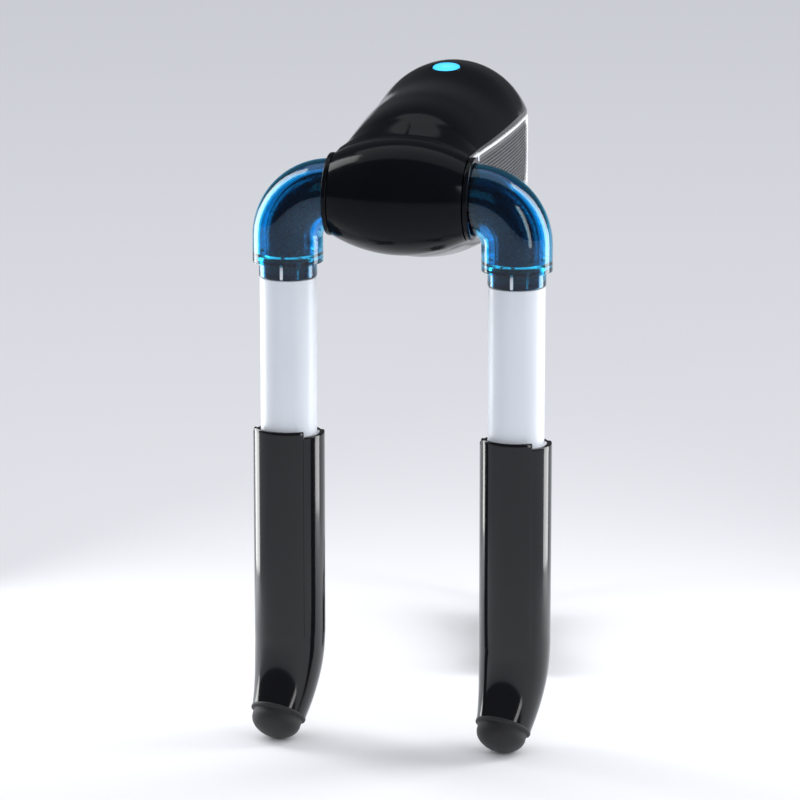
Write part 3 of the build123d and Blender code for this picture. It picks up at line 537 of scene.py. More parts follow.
def leg_path(side, s):
    """Point and tangent of a leg at distance s below the barrel's axis: straight, then bent to the toe."""
    toe = toe_direction()
    turn = np.clip((s + STRIP_END) / TIP_BEND, 0, TIP_TURN)
    beyond = np.maximum(s + STRIP_END - TIP_BEND * TIP_TURN, 0)
    shift = TIP_BEND * (1 - np.cos(turn)) + beyond * math.sin(TIP_TURN)
    drop = np.minimum(s, -STRIP_END) + TIP_BEND * np.sin(turn) + beyond * math.cos(TIP_TURN)
    place = np.array([side * TUBE_X, 0.0, 0.0]) + shift[:, None] * toe
    place[:, 2] -= drop
    tangent = np.sin(turn)[:, None] * toe
    tangent[:, 2] -= np.cos(turn)
    return place, tangent


def carried(path, side, profile, turn, sideways, radius_change=None):
    """A profile of (distance, radius) carried along that side's path and turned round it. turn is measured
    about the path from sideways' normal; radius_change(distance, turn) is added to each radius."""
    profile = np.asarray(profile, float)
    place, tangent = path(side, profile[:, 0])
    first = np.cross(np.broadcast_to(sideways, tangent.shape), tangent)
    first /= np.linalg.norm(first, axis=1, keepdims=True)
    second = np.broadcast_to(np.asarray(sideways, float), tangent.shape)
    radius = np.broadcast_to(profile[:, 1][:, None], (len(profile), len(turn)))
    if radius_change is not None:
        radius = radius + radius_change(profile[:, 0][:, None], turn[None, :])
    around = np.cos(turn)[None, :, None] * first[:, None] + np.sin(turn)[None, :, None] * second[:, None]
    return place[:, None] + radius[..., None] * around


def even_turn(count=96):
    """Angles once round, without the repeated last one."""
    return np.linspace(0, 2 * np.pi, count + 1)[:-1]


def toe_turn(count=96, edges=()):
    """Angles once round, with extra ones packed on both sides of each edge angle."""
    extra = [edge + step for edge in edges for step in (-0.022, -0.009, 0.009, 0.022)]
    return np.unique(np.round(np.concatenate([even_turn(count), np.array(extra) % (2 * np.pi)]), 5))


def squareness(turn, power):
    """How far a round of radius 1 is let out at each angle to make it a rounded square."""
    return (np.abs(np.cos(turn)) ** power + np.abs(np.sin(turn)) ** power) ** (-1 / power)


def off_toe(turn):
    """Each angle's distance from the toe side, 0 to pi."""
    return np.abs((turn + np.pi) % (2 * np.pi) - np.pi)


def toe_side():
    """Level direction across the toe direction; the angle 0 of a leg then faces the toe."""
    return np.cross(UP, toe_direction())


def between(low, high, count):
    """Evenly spaced (distance, radius) pairs from low to high."""
    return np.stack([np.linspace(low[k], high[k], count) for k in (0, 1)], -1)


# Finishes, one function for each kind

def new_finish(name):
    """An empty node material with its shader and output."""
    material = bpy.data.materials.new(name)
    material.use_nodes = True
    return material, material.node_tree, material.node_tree.nodes["Principled BSDF"]


def set_shader(shader, **values):
    """Sets constants on the shader's own sockets, by name with underscores for spaces."""
    for name, value in values.items():
        socket = shader.inputs[name.replace("_", " ")]
        socket.default_value = (*value, 1.0) if socket.type == "RGBA" else value


def add_node(tree, kind, **values):
    """A node with its properties or input defaults set."""
    node = tree.nodes.new(kind)
    for name, value in values.items():
        if hasattr(node, name):
            setattr(node, name, value)
        else:
            node.inputs[name.replace("_", " ")].default_value = value
    return node


def add_grain(tree, shader, scale, bump, distance, rough_low=None, rough_high=None, stretch=(1, 1, 1)):
    """Noise on object coordinates that lifts the surface a little and varies its roughness."""
    place = add_node(tree, "ShaderNodeTexCoord")
    mapping = add_node(tree, "ShaderNodeMapping")
    mapping.inputs["Scale"].default_value = stretch
    noise = add_node(tree, "ShaderNodeTexNoise", Scale=scale, Detail=3.0, Roughness=0.55)
    tree.links.new(place.outputs["Object"], mapping.inputs["Vector"])
    tree.links.new(mapping.outputs["Vector"], noise.inputs["Vector"])
    if bump:
        lift = add_node(tree, "ShaderNodeBump", Strength=bump, Distance=distance)
        tree.links.new(noise.outputs["Fac"], lift.inputs["Height"])
        tree.links.new(lift.outputs["Normal"], shader.inputs["Normal"])
    if rough_low is not None:
        spread = add_node(tree, "ShaderNodeMapRange")
        spread.inputs["From Min"].default_value = 0.35
        spread.inputs["From Max"].default_value = 0.65
        spread.inputs["To Min"].default_value = rough_low
        spread.inputs["To Max"].default_value = rough_high
        tree.links.new(noise.outputs["Fac"], spread.inputs["Value"])
        tree.links.new(spread.outputs["Result"], shader.inputs["Roughness"])
    return noise


def add_mottle(tree, shader, colour, scale, share):
    """Slow noise that varies the base colour by a small share."""
    place = add_node(tree, "ShaderNodeTexCoord")
    noise = add_node(tree, "ShaderNodeTexNoise", Scale=scale, Detail=2.0)
    ramp = add_node(tree, "ShaderNodeValToRGB")
    ramp.color_ramp.elements[0].position = 0.3
    ramp.color_ramp.elements[1].position = 0.7
    ramp.color_ramp.elements[0].color = (*[c * (1 - share) for c in colour], 1)
    ramp.color_ramp.elements[1].color = (*[min(c * (1 + share), 1) for c in colour], 1)
    tree.links.new(place.outputs["Object"], noise.inputs["Vector"])
    tree.links.new(noise.outputs["Fac"], ramp.inputs["Fac"])
    tree.links.new(ramp.outputs["Color"], shader.inputs["Base Color"])


def plastic(name, colour, rough, grain=700.0, bump=0.05, mottle=0.06, coat=0.0, specular=0.5):
    """Moulded plastic: fine surface grain, a slight colour drift and, on gloss, a clear coat."""
    material, tree, shader = new_finish(name)
    set_shader(shader, Base_Color=tuple(colour), Roughness=rough, Coat_Weight=coat, Coat_Roughness=0.03,
               Specular_IOR_Level=specular)
    add_grain(tree, shader, grain, bump, 0.0001, rough * 0.85, min(rough * 1.2, 1))
    add_mottle(tree, shader, colour, 40.0, mottle)
    return material


def metal(name, colour, rough, stretch=(1, 1, 1), grain=900.0, bump=0.05, metallic=1.0):
    """Metal, or metallic paint, with a drawn grain along the axis that stretch shortens."""
    material, tree, shader = new_finish(name)
    set_shader(shader, Base_Color=tuple(colour), Metallic=metallic, Roughness=rough)
    add_grain(tree, shader, grain, bump, 0.0001, rough * 0.75, rough * 1.3, stretch)
    return material


def clear_tint(name, colour):
    """Tinted clear plastic: light passes through, deeper where the wall is seen edge on."""
    material, tree, shader = new_finish(name)
    set_shader(shader, Base_Color=tuple(colour), Roughness=0.03, IOR=1.46, Transmission_Weight=1.0)
    add_grain(tree, shader, 120.0, 0.03, 0.0002)
    return material


def lit_plastic(name, colour, strength):
    """Translucent plastic lit from behind, a little brighter towards its middle."""
    material, tree, shader = new_finish(name)
    set_shader(shader, Base_Color=tuple(colour), Roughness=0.2, Emission_Strength=strength,
               Coat_Weight=0.6, Coat_Roughness=0.05)
    place = add_node(tree, "ShaderNodeTexCoord")
    mapping = add_node(tree, "ShaderNodeMapping")
    mapping.inputs["Location"].default_value = [-value * MM for value in BUTTON_AT]
    far = add_node(tree, "ShaderNodeVectorMath", operation="LENGTH")
    ramp = add_node(tree, "ShaderNodeMapRange")
    ramp.inputs["From Max"].default_value = BUTTON_R * MM
    blend = add_node(tree, "ShaderNodeMix", data_type="RGBA")
    blend.inputs["A"].default_value = (*[min(1, c * 1.15 + 0.16) for c in colour], 1)
    blend.inputs["B"].default_value = (*colour, 1)
    tree.links.new(place.outputs["Object"], mapping.inputs["Vector"])
    tree.links.new(mapping.outputs["Vector"], far.inputs[0])
    tree.links.new(far.outputs["Value"], ramp.inputs["Value"])
    tree.links.new(ramp.outputs["Result"], blend.inputs["Factor"])
    tree.links.new(blend.outputs["Result"], shader.inputs["Emission Color"])
    return material


def soft_rubber(name, colour, rough=0.62, grain=1500.0, bump=0.25):
    """Matt rubber or PVC: strong fine grain, no coat."""
    material, tree, shader = new_finish(name)
    set_shader(shader, Base_Color=tuple(colour), Roughness=rough, Specular_IOR_Level=0.4,
               Sheen_Weight=0.1, Sheen_Roughness=0.5)
    add_grain(tree, shader, grain, bump, 0.00012, rough * 0.9, min(rough * 1.15, 1))
    add_mottle(tree, shader, colour, 60.0, 0.12)
    return material


def frosted(name, colour):
    """Satin white polymer that lets a little light in."""
    material, tree, shader = new_finish(name)
    set_shader(shader, Base_Color=tuple(colour), Roughness=0.38, Subsurface_Weight=0.25,
               Subsurface_Scale=0.003, Subsurface_Radius=(1.0, 1.0, 1.0), Specular_IOR_Level=0.45)
    add_grain(tree, shader, 600.0, 0.06, 0.0001, 0.32, 0.44)
    add_mottle(tree, shader, colour, 30.0, 0.015)
    return material


def circuit(name):
    """Green solder mask with paler copper tracks under it."""
    material, tree, shader = new_finish(name)
    set_shader(shader, Roughness=0.35, Coat_Weight=0.3, Coat_Roughness=0.1)
    place = add_node(tree, "ShaderNodeTexCoord")
    tracks = add_node(tree, "ShaderNodeTexBrick", Scale=180.0)
    tracks.inputs["Color1"].default_value = (0.01, 0.13, 0.05, 1)
    tracks.inputs["Color2"].default_value = (0.012, 0.16, 0.06, 1)
    tracks.inputs["Mortar"].default_value = (0.04, 0.3, 0.12, 1)
    tree.links.new(place.outputs["Object"], tracks.inputs["Vector"])
    tree.links.new(tracks.outputs["Color"], shader.inputs["Base Color"])
    return material


def finish_of(slot):
    """The material of one slot, made once."""
    if slot in FINISHES:
        return FINISHES[slot]
    look = bpy.context.scene.dryer_finish
    case, rough = tuple(look.case_colour), look.case_roughness
    makers = {
        "gloss_black": lambda: plastic(slot, case, rough, 260.0, 0.012, 0.1, 0.0, 0.12),
        "silver_trim": lambda: metal(slot, tuple(look.trim_colour), 0.24, (1, 0.06, 1), 1400.0, 0.008, 0.45),
        "grille_black": lambda: plastic(slot, (0.05, 0.052, 0.058), 0.33, 900.0, 0.05, 0.1, 0.1),
        "steel": lambda: metal(slot, (0.56, 0.56, 0.58), 0.3),
        "button_blue": lambda: lit_plastic(slot, tuple(look.glow_colour), look.glow_strength),
        "led_white": lambda: plastic(slot, (0.85, 0.9, 0.95), 0.2),
        "circuit_board": lambda: circuit(slot),
        "component_black": lambda: plastic(slot, (0.02, 0.02, 0.022), 0.45),
        "fan_plastic": lambda: plastic(slot, (0.03, 0.03, 0.034), 0.42),
        "motor_metal": lambda: metal(slot, (0.62, 0.63, 0.64), 0.32),
        "heater_ceramic": lambda: plastic(slot, (0.66, 0.62, 0.55), 0.7, 500.0, 0.2, 0.1),
        "mica": lambda: plastic(slot, (0.46, 0.4, 0.3), 0.5, 300.0, 0.2, 0.2),
        "elbow_blue": lambda: clear_tint(slot, tuple(look.elbow_colour)),
        "liner_black": lambda: plastic(slot, (0.002, 0.006, 0.022), 0.3, 700.0, 0.05, 0.1),
        "tube_white": lambda: frosted(slot, tuple(look.tube_colour)),
        "tube_black": lambda: plastic(slot, (0.004, 0.004, 0.0052), 0.1, 260.0, 0.01, 0.1, 0.0, 0.45),
        "ring_grey": lambda: plastic(slot, (0.62, 0.63, 0.66), 0.4),
        "foot_rubber": lambda: soft_rubber(slot, (0.012, 0.012, 0.013)),
        "seal_rubber": lambda: soft_rubber(slot, (0.02, 0.02, 0.02)),
        "cord_jacket": lambda: soft_rubber(slot, (0.012, 0.012, 0.013), 0.48, 900.0, 0.12),
        "tie_grey": lambda: soft_rubber(slot, (0.03, 0.03, 0.032), 0.8, 2500.0, 0.5),
        "plug_brass": lambda: metal(slot, (0.78, 0.72, 0.56), 0.2, (1, 1, 0.2), 1200.0, 0.03),
    }
    FINISHES[slot] = makers[slot]()
    return FINISHES[slot]


# Pieces

class DRYER_OT_inside(bpy.types.Operator):
    """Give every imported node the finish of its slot"""
    bl_idname = "dryer.inside"
    bl_label = "Finish the packed nodes"

    def execute(self, context):
        for part in frame["record"]["subparts"]:
            dress(frame["nodes"][part["node"]], part["material_slot"])
        return {"FINISHED"}


class DRYER_OT_case(bpy.types.Operator):
    """Head: roof with the barrel's front, flanks, and belly"""
    bl_idname = "dryer.case"
    bl_label = "Case"

    def execute(self, context):
        roof = roof_grid()
        inner = inward(roof, WALL)
        patches = holed_roof(roof, inner, BUTTON_R + 1.5) + walls(roof, inner)
        for side, _ in SIDES:
            patches += flank_patches(side)
        make_piece("case_top", patches, "gloss_black", "head", ("top_shell",))
        belly = belly_grid()
        inner = inward(belly, WALL)
        make_piece("case_bottom", [grid(belly), grid(inner)] + walls(belly, inner),
                   "gloss_black", "head", ("bottom_shell",))
        return {"FINISHED"}


class DRYER_OT_intakes(bpy.types.Operator):
    """Perforated intake grilles and the silver trim round them"""
    bl_idname = "dryer.intakes"
    bl_label = "Intakes"

    def mesh_sheet(self, side, pitch, bar):
        """Six-sided holes in a staggered sheet: each cell is four six-cornered rings, front to back."""
        rows = np.arange(-30, 31)
        cols = np.arange(-60, 61)
        y = (cols[None, :] + 0.5 * (rows[:, None] % 2)) * pitch + (WINDOW_FRONT + WINDOW_REAR) / 2
        z = np.broadcast_to(rows[:, None] * pitch * math.sqrt(0.75), y.shape)
        inside = (y > WINDOW_FRONT + 1) & (np.abs(z) < WINDOW_HALF - 1)
        inside &= y < WINDOW_REAR - 1.5 - 5 * (z / WINDOW_HALF) ** 2
        centre = np.stack([y[inside], z[inside]], -1)
        turn = np.radians(np.arange(6) * 60 + 30)
        ring = np.stack([np.cos(turn), np.sin(turn)], -1)
        wide, narrow = pitch / math.sqrt(3), (pitch - bar) / math.sqrt(3)
        sheets = [(wide, -0.75), (narrow, -0.75), (narrow, -1.6), (wide, -1.6)]
        corners = np.stack([on_flank(side, centre[:, None] + ring * size, depth)
                            for size, depth in sheets], 1)
        cells = quads(4, 6, close_cols=True)[None] + 24 * np.arange(len(centre))[:, None, None]
        return corners.reshape(-1, 3), cells.reshape(-1, 4)

    def rim(self, side):
        """Moulded rim of the sheet: a flat band inside the window's outline, rounded on its face."""
        outer, inner = window_outline(-0.05), window_outline(-2.4)
        share = np.array([0, 0.1, 0.5, 0.9, 1.0, 1.0, 0.0])
        lift = np.array([-0.7, -0.45, -0.4, -0.45, -0.7, -1.9, -1.9])
        flat = outer[:, None] * (1 - share[:, None]) + inner[:, None] * share[:, None]
        return grid(on_flank(side, flat, lift), close_rows=True, close_cols=True)

    def trim_ring(self, side, proud):
        """Trim between the window and the trim's outline: proud mid-band and rolled at the edges."""
        outer, inner = trim_outline(-0.05), window_outline(0.05)
        share = np.concatenate([np.linspace(0, 1, 13), [1.0, 0.0]])
        lift = proud * (1 - np.abs(2 * share - 1) ** 6)
        lift[-2:] = -1.0
        flat = outer[:, None] * (1 - share[:, None]) + inner[:, None] * share[:, None]
        return grid(on_flank(side, flat, lift), close_rows=True, close_cols=True)

    def trim_tongue(self, side, proud):
        """The trim's top edge carried forward to a point beside the collar."""
        y = np.linspace(4.5, WINDOW_FRONT - TRIM_BAND + 0.4, 12)[:, None]
        turn = np.linspace(0, np.pi, 9)[None, :]
        grown = np.clip((y - 4.5) / 6, 0.05, 1) ** 0.5
        middle = WINDOW_HALF + TRIM_BAND * 0.5
        z = middle + 0.5 * TRIM_BAND * grown * np.cos(turn) + 0.4
        lift = proud * np.sin(turn) * np.ones_like(y)
        top = on_flank(side, np.stack(np.broadcast_arrays(y, z), -1), lift)
        base = on_flank(side, np.stack(np.broadcast_arrays(y, z), -1), lift * 0 - 0.4)
        return [grid(top), grid(base)] + walls(top, base)

    def execute(self, context):
        sizes = context.scene.dryer_details
        pitch, bar = sizes.mesh_pitch / MM, sizes.mesh_bar / MM
        proud = sizes.trim_proud / MM
        for side, name in SIDES:
            make_piece(f"{name}_grille", [self.mesh_sheet(side, pitch, bar), self.rim(side)],
                       "grille_black", "head", (f"{name}_intake_grille",), weld=0.01, sharp=30)
            make_piece(f"{name}_trim", [self.trim_ring(side, proud)] + self.trim_tongue(side, proud),
                       "silver_trim", "head", (f"{name}_trim_ring",), sharp=60)
        return {"FINISHED"}


class DRYER_OT_button(bpy.types.Operator):
    """Lit power button and its bezel"""
    bl_idname = "dryer.button"
    bl_label = "Button"

    def execute(self, context):
        centre, axes = button_frame()
        top, base = 0.95, -3.4
        dome = [(r, top - 0.35 * (r / BUTTON_R) ** 2) for r in np.linspace(0, BUTTON_R - 0.4, 12)]
        profile = dome + [(BUTTON_R - 0.12, top - 0.5), (BUTTON_R, top - 0.9), (BUTTON_R, base), (0, base)]
        make_piece("power_button", [grid(turned_about(centre, axes, profile), close_cols=True)],
                   "button_blue", "button", ("button_cap",))
        inner, outer = BUTTON_R + 0.3, BUTTON_R + 1.5
        ring = rounded([(inner, -3.6), (inner, 0.62), (outer, 0.5), (outer, -3.6), (inner, -3.6)], 0.35)
        make_piece("power_bezel", [grid(turned_about(centre, axes, ring), close_cols=True)],
                   "gloss_black", "head", ("button_bezel",))
        return {"FINISHED"}


class DRYER_OT_elbows(bpy.types.Operator):
    """Tinted elbows with their slit necks, the black collars and the liners inside"""
    bl_idname = "dryer.elbows"
    bl_label = "Elbows"

    def shell(self, side):
        """Outer skin along the bend, shoulder, neck, then the bore back up: one closed profile."""
        shoulder, end = elbow_length(SHOULDER), elbow_length(NECK_END)
        outer = between((0.0, ELBOW_R), (shoulder, ELBOW_R), 60)
        neck = [(shoulder, ELBOW_R), (shoulder, NECK_R), (end, NECK_R), (end, NECK_R - NECK_WALL),
                (shoulder - 3, NECK_R - NECK_WALL), (shoulder - 4.5, ELBOW_R - ELBOW_WALL)]
        neck = rounded([outer[-2]] + neck, 0.6)
        bore = between((shoulder - 5, ELBOW_R - ELBOW_WALL), (0.0, ELBOW_R - ELBOW_WALL), 56)
        profile = np.concatenate([outer[:-1], neck[1:], bore])
        turn = toe_turn(96)
        return carried(elbow_path, side, profile, turn, (0.0, 1.0, 0.0))

    def snap_tab(self, side):
        """Pale tab in the neck's slit: a flat bar with rolled edges on the neck's toe side."""
        turn = even_turn(20)
        shape = squareness(turn, 4)
        reach, width = 0.75 * np.sin(turn) * shape, 0.75 * np.cos(turn) * shape
        grown = np.array([0.0, 0.7, 1.0, 1.0, 0.7, 0.0])[:, None, None]
        z = NECK_END + np.array([0.3, 0.3, 0.7, 6.6, 7.2, 7.2])
        spot = np.stack([width, -reach, 0 * width], -1)
        axis = np.array([side * TUBE_X, 0.55 - NECK_R, 0])
        return axis + grown * spot + z[:, None, None] * UP

    def execute(self, context):
        for side, name in SIDES:
            body = f"{name}_elbow"
            skin = self.shell(side)
            make_piece(f"{name}_elbow_skin", [grid(skin, close_rows=True, close_cols=True)],
                       "elbow_blue", body, (f"{name}_elbow_shell",))
            make_piece(f"{name}_snap_tab", [grid(self.snap_tab(side), close_cols=True)], "tube_white", body)
            end = elbow_length(NECK_END) - 9.8
            radius, wall = 10.0, 1.2
            profile = np.concatenate([between((0.0, radius), (end, radius), 60),
                                      between((end, radius - wall), (0.0, radius - wall), 60)])
            liner = carried(elbow_path, side, profile, even_turn(72), (0.0, 1.0, 0.0))
            make_piece(f"{name}_liner", [grid(liner, close_rows=True, close_cols=True)],
                       "liner_black", body, (f"{name}_air_liner",))
            ring = rounded([(ELBOW_R + 0.08, COLLAR_IN), (COLLAR_R - 0.1, COLLAR_IN),
                            (COLLAR_R - 0.1, COLLAR_OUT), (ELBOW_R + 0.08, COLLAR_OUT),
                            (ELBOW_R + 0.08, COLLAR_IN)], 0.8)
            axes = np.array([(0, 1, 0), (0, 0, 1), (side, 0, 0)], float)
            make_piece(f"{name}_collar", [grid(turned_about(np.zeros(3), axes, ring, 128), close_cols=True)],
                       "gloss_black", body, (f"{name}_ring_collar",))
        return {"FINISHED"}


class DRYER_OT_tubes(bpy.types.Operator):
    """Telescopic tubes: white inner ones, black outer ones with their cover strips, and the feet"""
    bl_idname = "dryer.tubes"
    bl_label = "Tubes"

    def inner_tube(self, side):
        """White tube: rolled edges at both ends, and the bore back up."""
        top, end = -NECK_END + 0.3, -INNER_END
        bore = INNER_R - INNER_WALL
        line = [(top + 1, bore), (top, bore), (top, INNER_R), (end, INNER_R), (end, bore), (top + 1, bore)]
        return carried(leg_path, side, rounded(line, 0.5), even_turn(96), toe_side())

    def spigot(self, side):
        """Dark sleeve on the tube's upper end, seen through the clear neck."""
        top, end = -INNER_TOP, -NECK_END + 0.3
        outer, bore = NECK_R - NECK_WALL - 0.12, NECK_R - NECK_WALL - 1.6
        line = [(top + 1, bore), (top, bore), (top, outer), (end, outer), (end, bore), (top + 1, bore)]
        return carried(leg_path, side, rounded(line, 0.3), even_turn(96), toe_side())

    def outer_change(self, s, turn):
        """Seat of the cover strip down the straight stretch, and a fine seam on down the tip."""
        away = off_toe(turn)
        seat = np.clip((STRIP_HALF + 0.011 - away) / 0.02 + 0.5, 0, 1)
        seam = np.exp(-((away - STRIP_HALF) / 0.018) ** 2)
        straight = np.clip((-STRIP_END - s) / 0.4, 0, 1)
        return -(STRIP_DEPTH + 0.05) * seat * straight - 0.4 * seam * (1 - straight)

    def outer_tube(self, side):
        """Black tube: rolled rim, straight stretch, and a tip that bends to the toe and tapers."""
        bend, length = -STRIP_END, TIP_BEND * TIP_TURN
        steps = np.array([0, 12, 24, 36]) / 36 * length
        radii = np.array([OUTER_R, OUTER_R - 0.5, OUTER_R - 1.9, TIP_R])
        s = np.linspace(0, length, 30)
        radius = smooth(steps, radii, s)
        bore = OUTER_R - OUTER_WALL
        rim = [(-RIM + RIM_DEPTH, bore), (-RIM, bore), (-RIM, OUTER_R), (-RIM + 3, OUTER_R)]
        outside = np.concatenate([rounded(rim, 0.7), between((-RIM + 4, OUTER_R), (bend - 0.5, OUTER_R), 24),
                                  np.stack([bend + s, radius], -1)])
        tube = carried(leg_path, side, outside, toe_turn(120, STRIP_EDGES), toe_side(), self.outer_change)
        return tube, outside

    def strip(self, side):
        """Cover strip: a sector of tube wall with rolled long edges and a rounded top corner."""
        top, end = -STRIP_TOP, -STRIP_END
        share = np.linspace(-1, 1, 61)
        lean = STRIP_HALF - 0.006
        turn = share * lean
        roll = 0.45 * np.clip((np.abs(share) - 0.975) / 0.025, 0, 1) ** 2
        s = np.concatenate([[top, top + 0.12, top + 0.4, top + 0.9], np.linspace(top + 2, end - 0.15, 24)])
        ends = 0.5 * np.clip(1 - (s - top) / 0.9, 0, 1) ** 2
        place = leg_path(side, s)[0]
        first, second = toe_direction(), toe_side()
        around = np.cos(turn)[:, None] * first + np.sin(turn)[:, None] * second
        outer = place[:, None] + (OUTER_R - roll[None, :] - ends[:, None])[..., None] * around[None]
        inner = place[:, None] + (OUTER_R - STRIP_DEPTH) * around[None] + np.zeros((len(s), 1, 1))
        return [grid(outer), grid(inner)] + walls(outer, inner)

    def foot_change(self, s, turn):
        """Three air slots sunk into the toe side of the foot."""
        start = -STRIP_END + TIP_BEND * TIP_TURN
        away = off_toe(turn)
        wide = np.clip((FOOT_SLOT_HALF - away) / 0.05, 0, 1)
        change = 0
        for number in range(3):
            middle = start + 3.4 + 2.5 * number
            change = change - 1.6 * wide * np.clip((0.75 - np.abs(s - middle)) / 0.16 + 0.5, 0, 1)
        return change

    def foot(self, side):
        """Rubber foot: a small lip, a short straight, and a rounded end."""
        start = -STRIP_END + TIP_BEND * TIP_TURN
        radius, straight, dome = FOOT_R, 4.0, 8.0
        lip = rounded([(start, 4.0), (start, TIP_R + 0.25), (start + 1.3, TIP_R + 0.25),
                       (start + 1.7, radius + 0.1), (start + 2.2, radius)], 0.45)
        side_line = between((start + 2.4, radius), (start + straight, radius), 14)
        angle = np.linspace(0, np.pi / 2, 40)[1:]
        end = np.stack([start + straight + dome * np.sin(angle), radius * np.cos(angle)], -1)
        profile = np.concatenate([[(start, 0.0)], lip, side_line, end])
        return carried(leg_path, side, profile, toe_turn(96, (FOOT_SLOT_HALF, -FOOT_SLOT_HALF)), toe_side(),
                       self.foot_change)

    def execute(self, context):
        for side, name in SIDES:
            make_piece(f"{name}_white_tube", [grid(self.inner_tube(side), close_cols=True)],
                       "tube_white", f"{name}_inner_leg", (f"{name}_inner_tube",))
            make_piece(f"{name}_spigot", [grid(self.spigot(side), close_cols=True)],
                       "liner_black", f"{name}_inner_leg")
            outer, profile = self.outer_tube(side)
            bore = profile[::-1].copy()
            bore[:, 1] = np.minimum(bore[:, 1], OUTER_R) - OUTER_WALL
            bore = bore[bore[:, 0] > -RIM + RIM_DEPTH]
            inside = carried(leg_path, side, bore, toe_turn(120, STRIP_EDGES), toe_side())
            tube = np.concatenate([outer, inside])
            body = f"{name}_outer_leg"
            make_piece(f"{name}_black_tube", [grid(tube, close_rows=True, close_cols=True)],
                       "tube_black", body, (f"{name}_outer_tube",), sharp=30)
            make_piece(f"{name}_strip", self.strip(side), "tube_black", body,
                       (f"{name}_cover_strip",), sharp=50)
            make_piece(f"{name}_rubber_foot", [grid(self.foot(side), close_cols=True)],
                       "foot_rubber", body, (f"{name}_foot",), sharp=50)
        return {"FINISHED"}


# The lead, as a route in metres: out of the relief, over and down to the surface, then in to the hank
CORD_X = 0.008
PARTING = -0.019
GROUND = FLOOR * MM
HANK_TURN = math.radians(12.0)
HANK_AXIS = np.array([math.sin(HANK_TURN), -math.cos(HANK_TURN), 0.0])
HANK_SIDE = np.array([-HANK_AXIS[1], HANK_AXIS[0], 0.0])
HANK_CENTRE = np.array([0.0223, 0.1587, GROUND])
PLUG_CENTRE = np.array([0.0189, 0.158, GROUND])
PLUG_LENGTH = 46.0
PLUG_HALF_HEIGHT = 7.5
RELIEF_FRONT = 146.0
RELIEF_END = 180.0
HANK_REACH = 0.036
HANK_RADIUS = 0.0134
HANK_WAIST = 0.0052
HANK_TURNS = 4.5
# From the hank's top turn in to the plug: along the hank, across it and up from the surface, in millimetres
PLUG_LEAD_IN = [(28.0, 11.5, 27.0), (20.0, 6.0, 30.0), (13.0, 0.5, 31.8), (7.0, -3.0, 32.0)]
CORD_ROUTE = [
    (CORD_X, 0.180, PARTING),
    (0.0076, 0.197, PARTING - 0.003),
    (0.0062, 0.215, PARTING - 0.012),
    (0.0043, 0.231, PARTING - 0.028),
    (0.0026, 0.241, PARTING - 0.052),
    (0.0014, 0.246, PARTING - 0.082),
    (0.0012, 0.249, PARTING - 0.115),
    (0.0016, 0.248, PARTING - 0.148),
    (0.0019, 0.247, PARTING - 0.180),
    (0.0027, 0.243, GROUND + 0.029),
    (0.0040, 0.235, GROUND + 0.0135),
    (0.0060, 0.224, GROUND + 0.0050),
]


def hank_points(diameter):
    """Turns of the tied hank: round ends, and straights that draw in to the tie at the waist. Each turn
    lies a diameter above the last."""
    shape = []
    for end in (1, -1):
        turn = np.linspace(-90, 90, 9) if end > 0 else np.linspace(90, 270, 9)
        shape += [(end * HANK_REACH + HANK_RADIUS * math.cos(math.radians(t)),
                   HANK_RADIUS * math.sin(math.radians(t))) for t in turn]
        for share in (0.62, 0.25, -0.25, -0.62):
            width = HANK_WAIST + (HANK_RADIUS - HANK_WAIST) * abs(share) ** 1.6
            shape.append((end * HANK_REACH * share, end * width))
    shape = np.array(shape)
    start = 23
    total = int(HANK_TURNS * len(shape)) - 1
    order = (start + np.arange(total)) % len(shape)
    along, over = shape[order].T
    lift = diameter * 1.12 * np.arange(total) / len(shape)
    return HANK_CENTRE + along[:, None] * HANK_AXIS + over[:, None] * HANK_SIDE \
        + UP * (diameter / 2 + lift)[:, None]


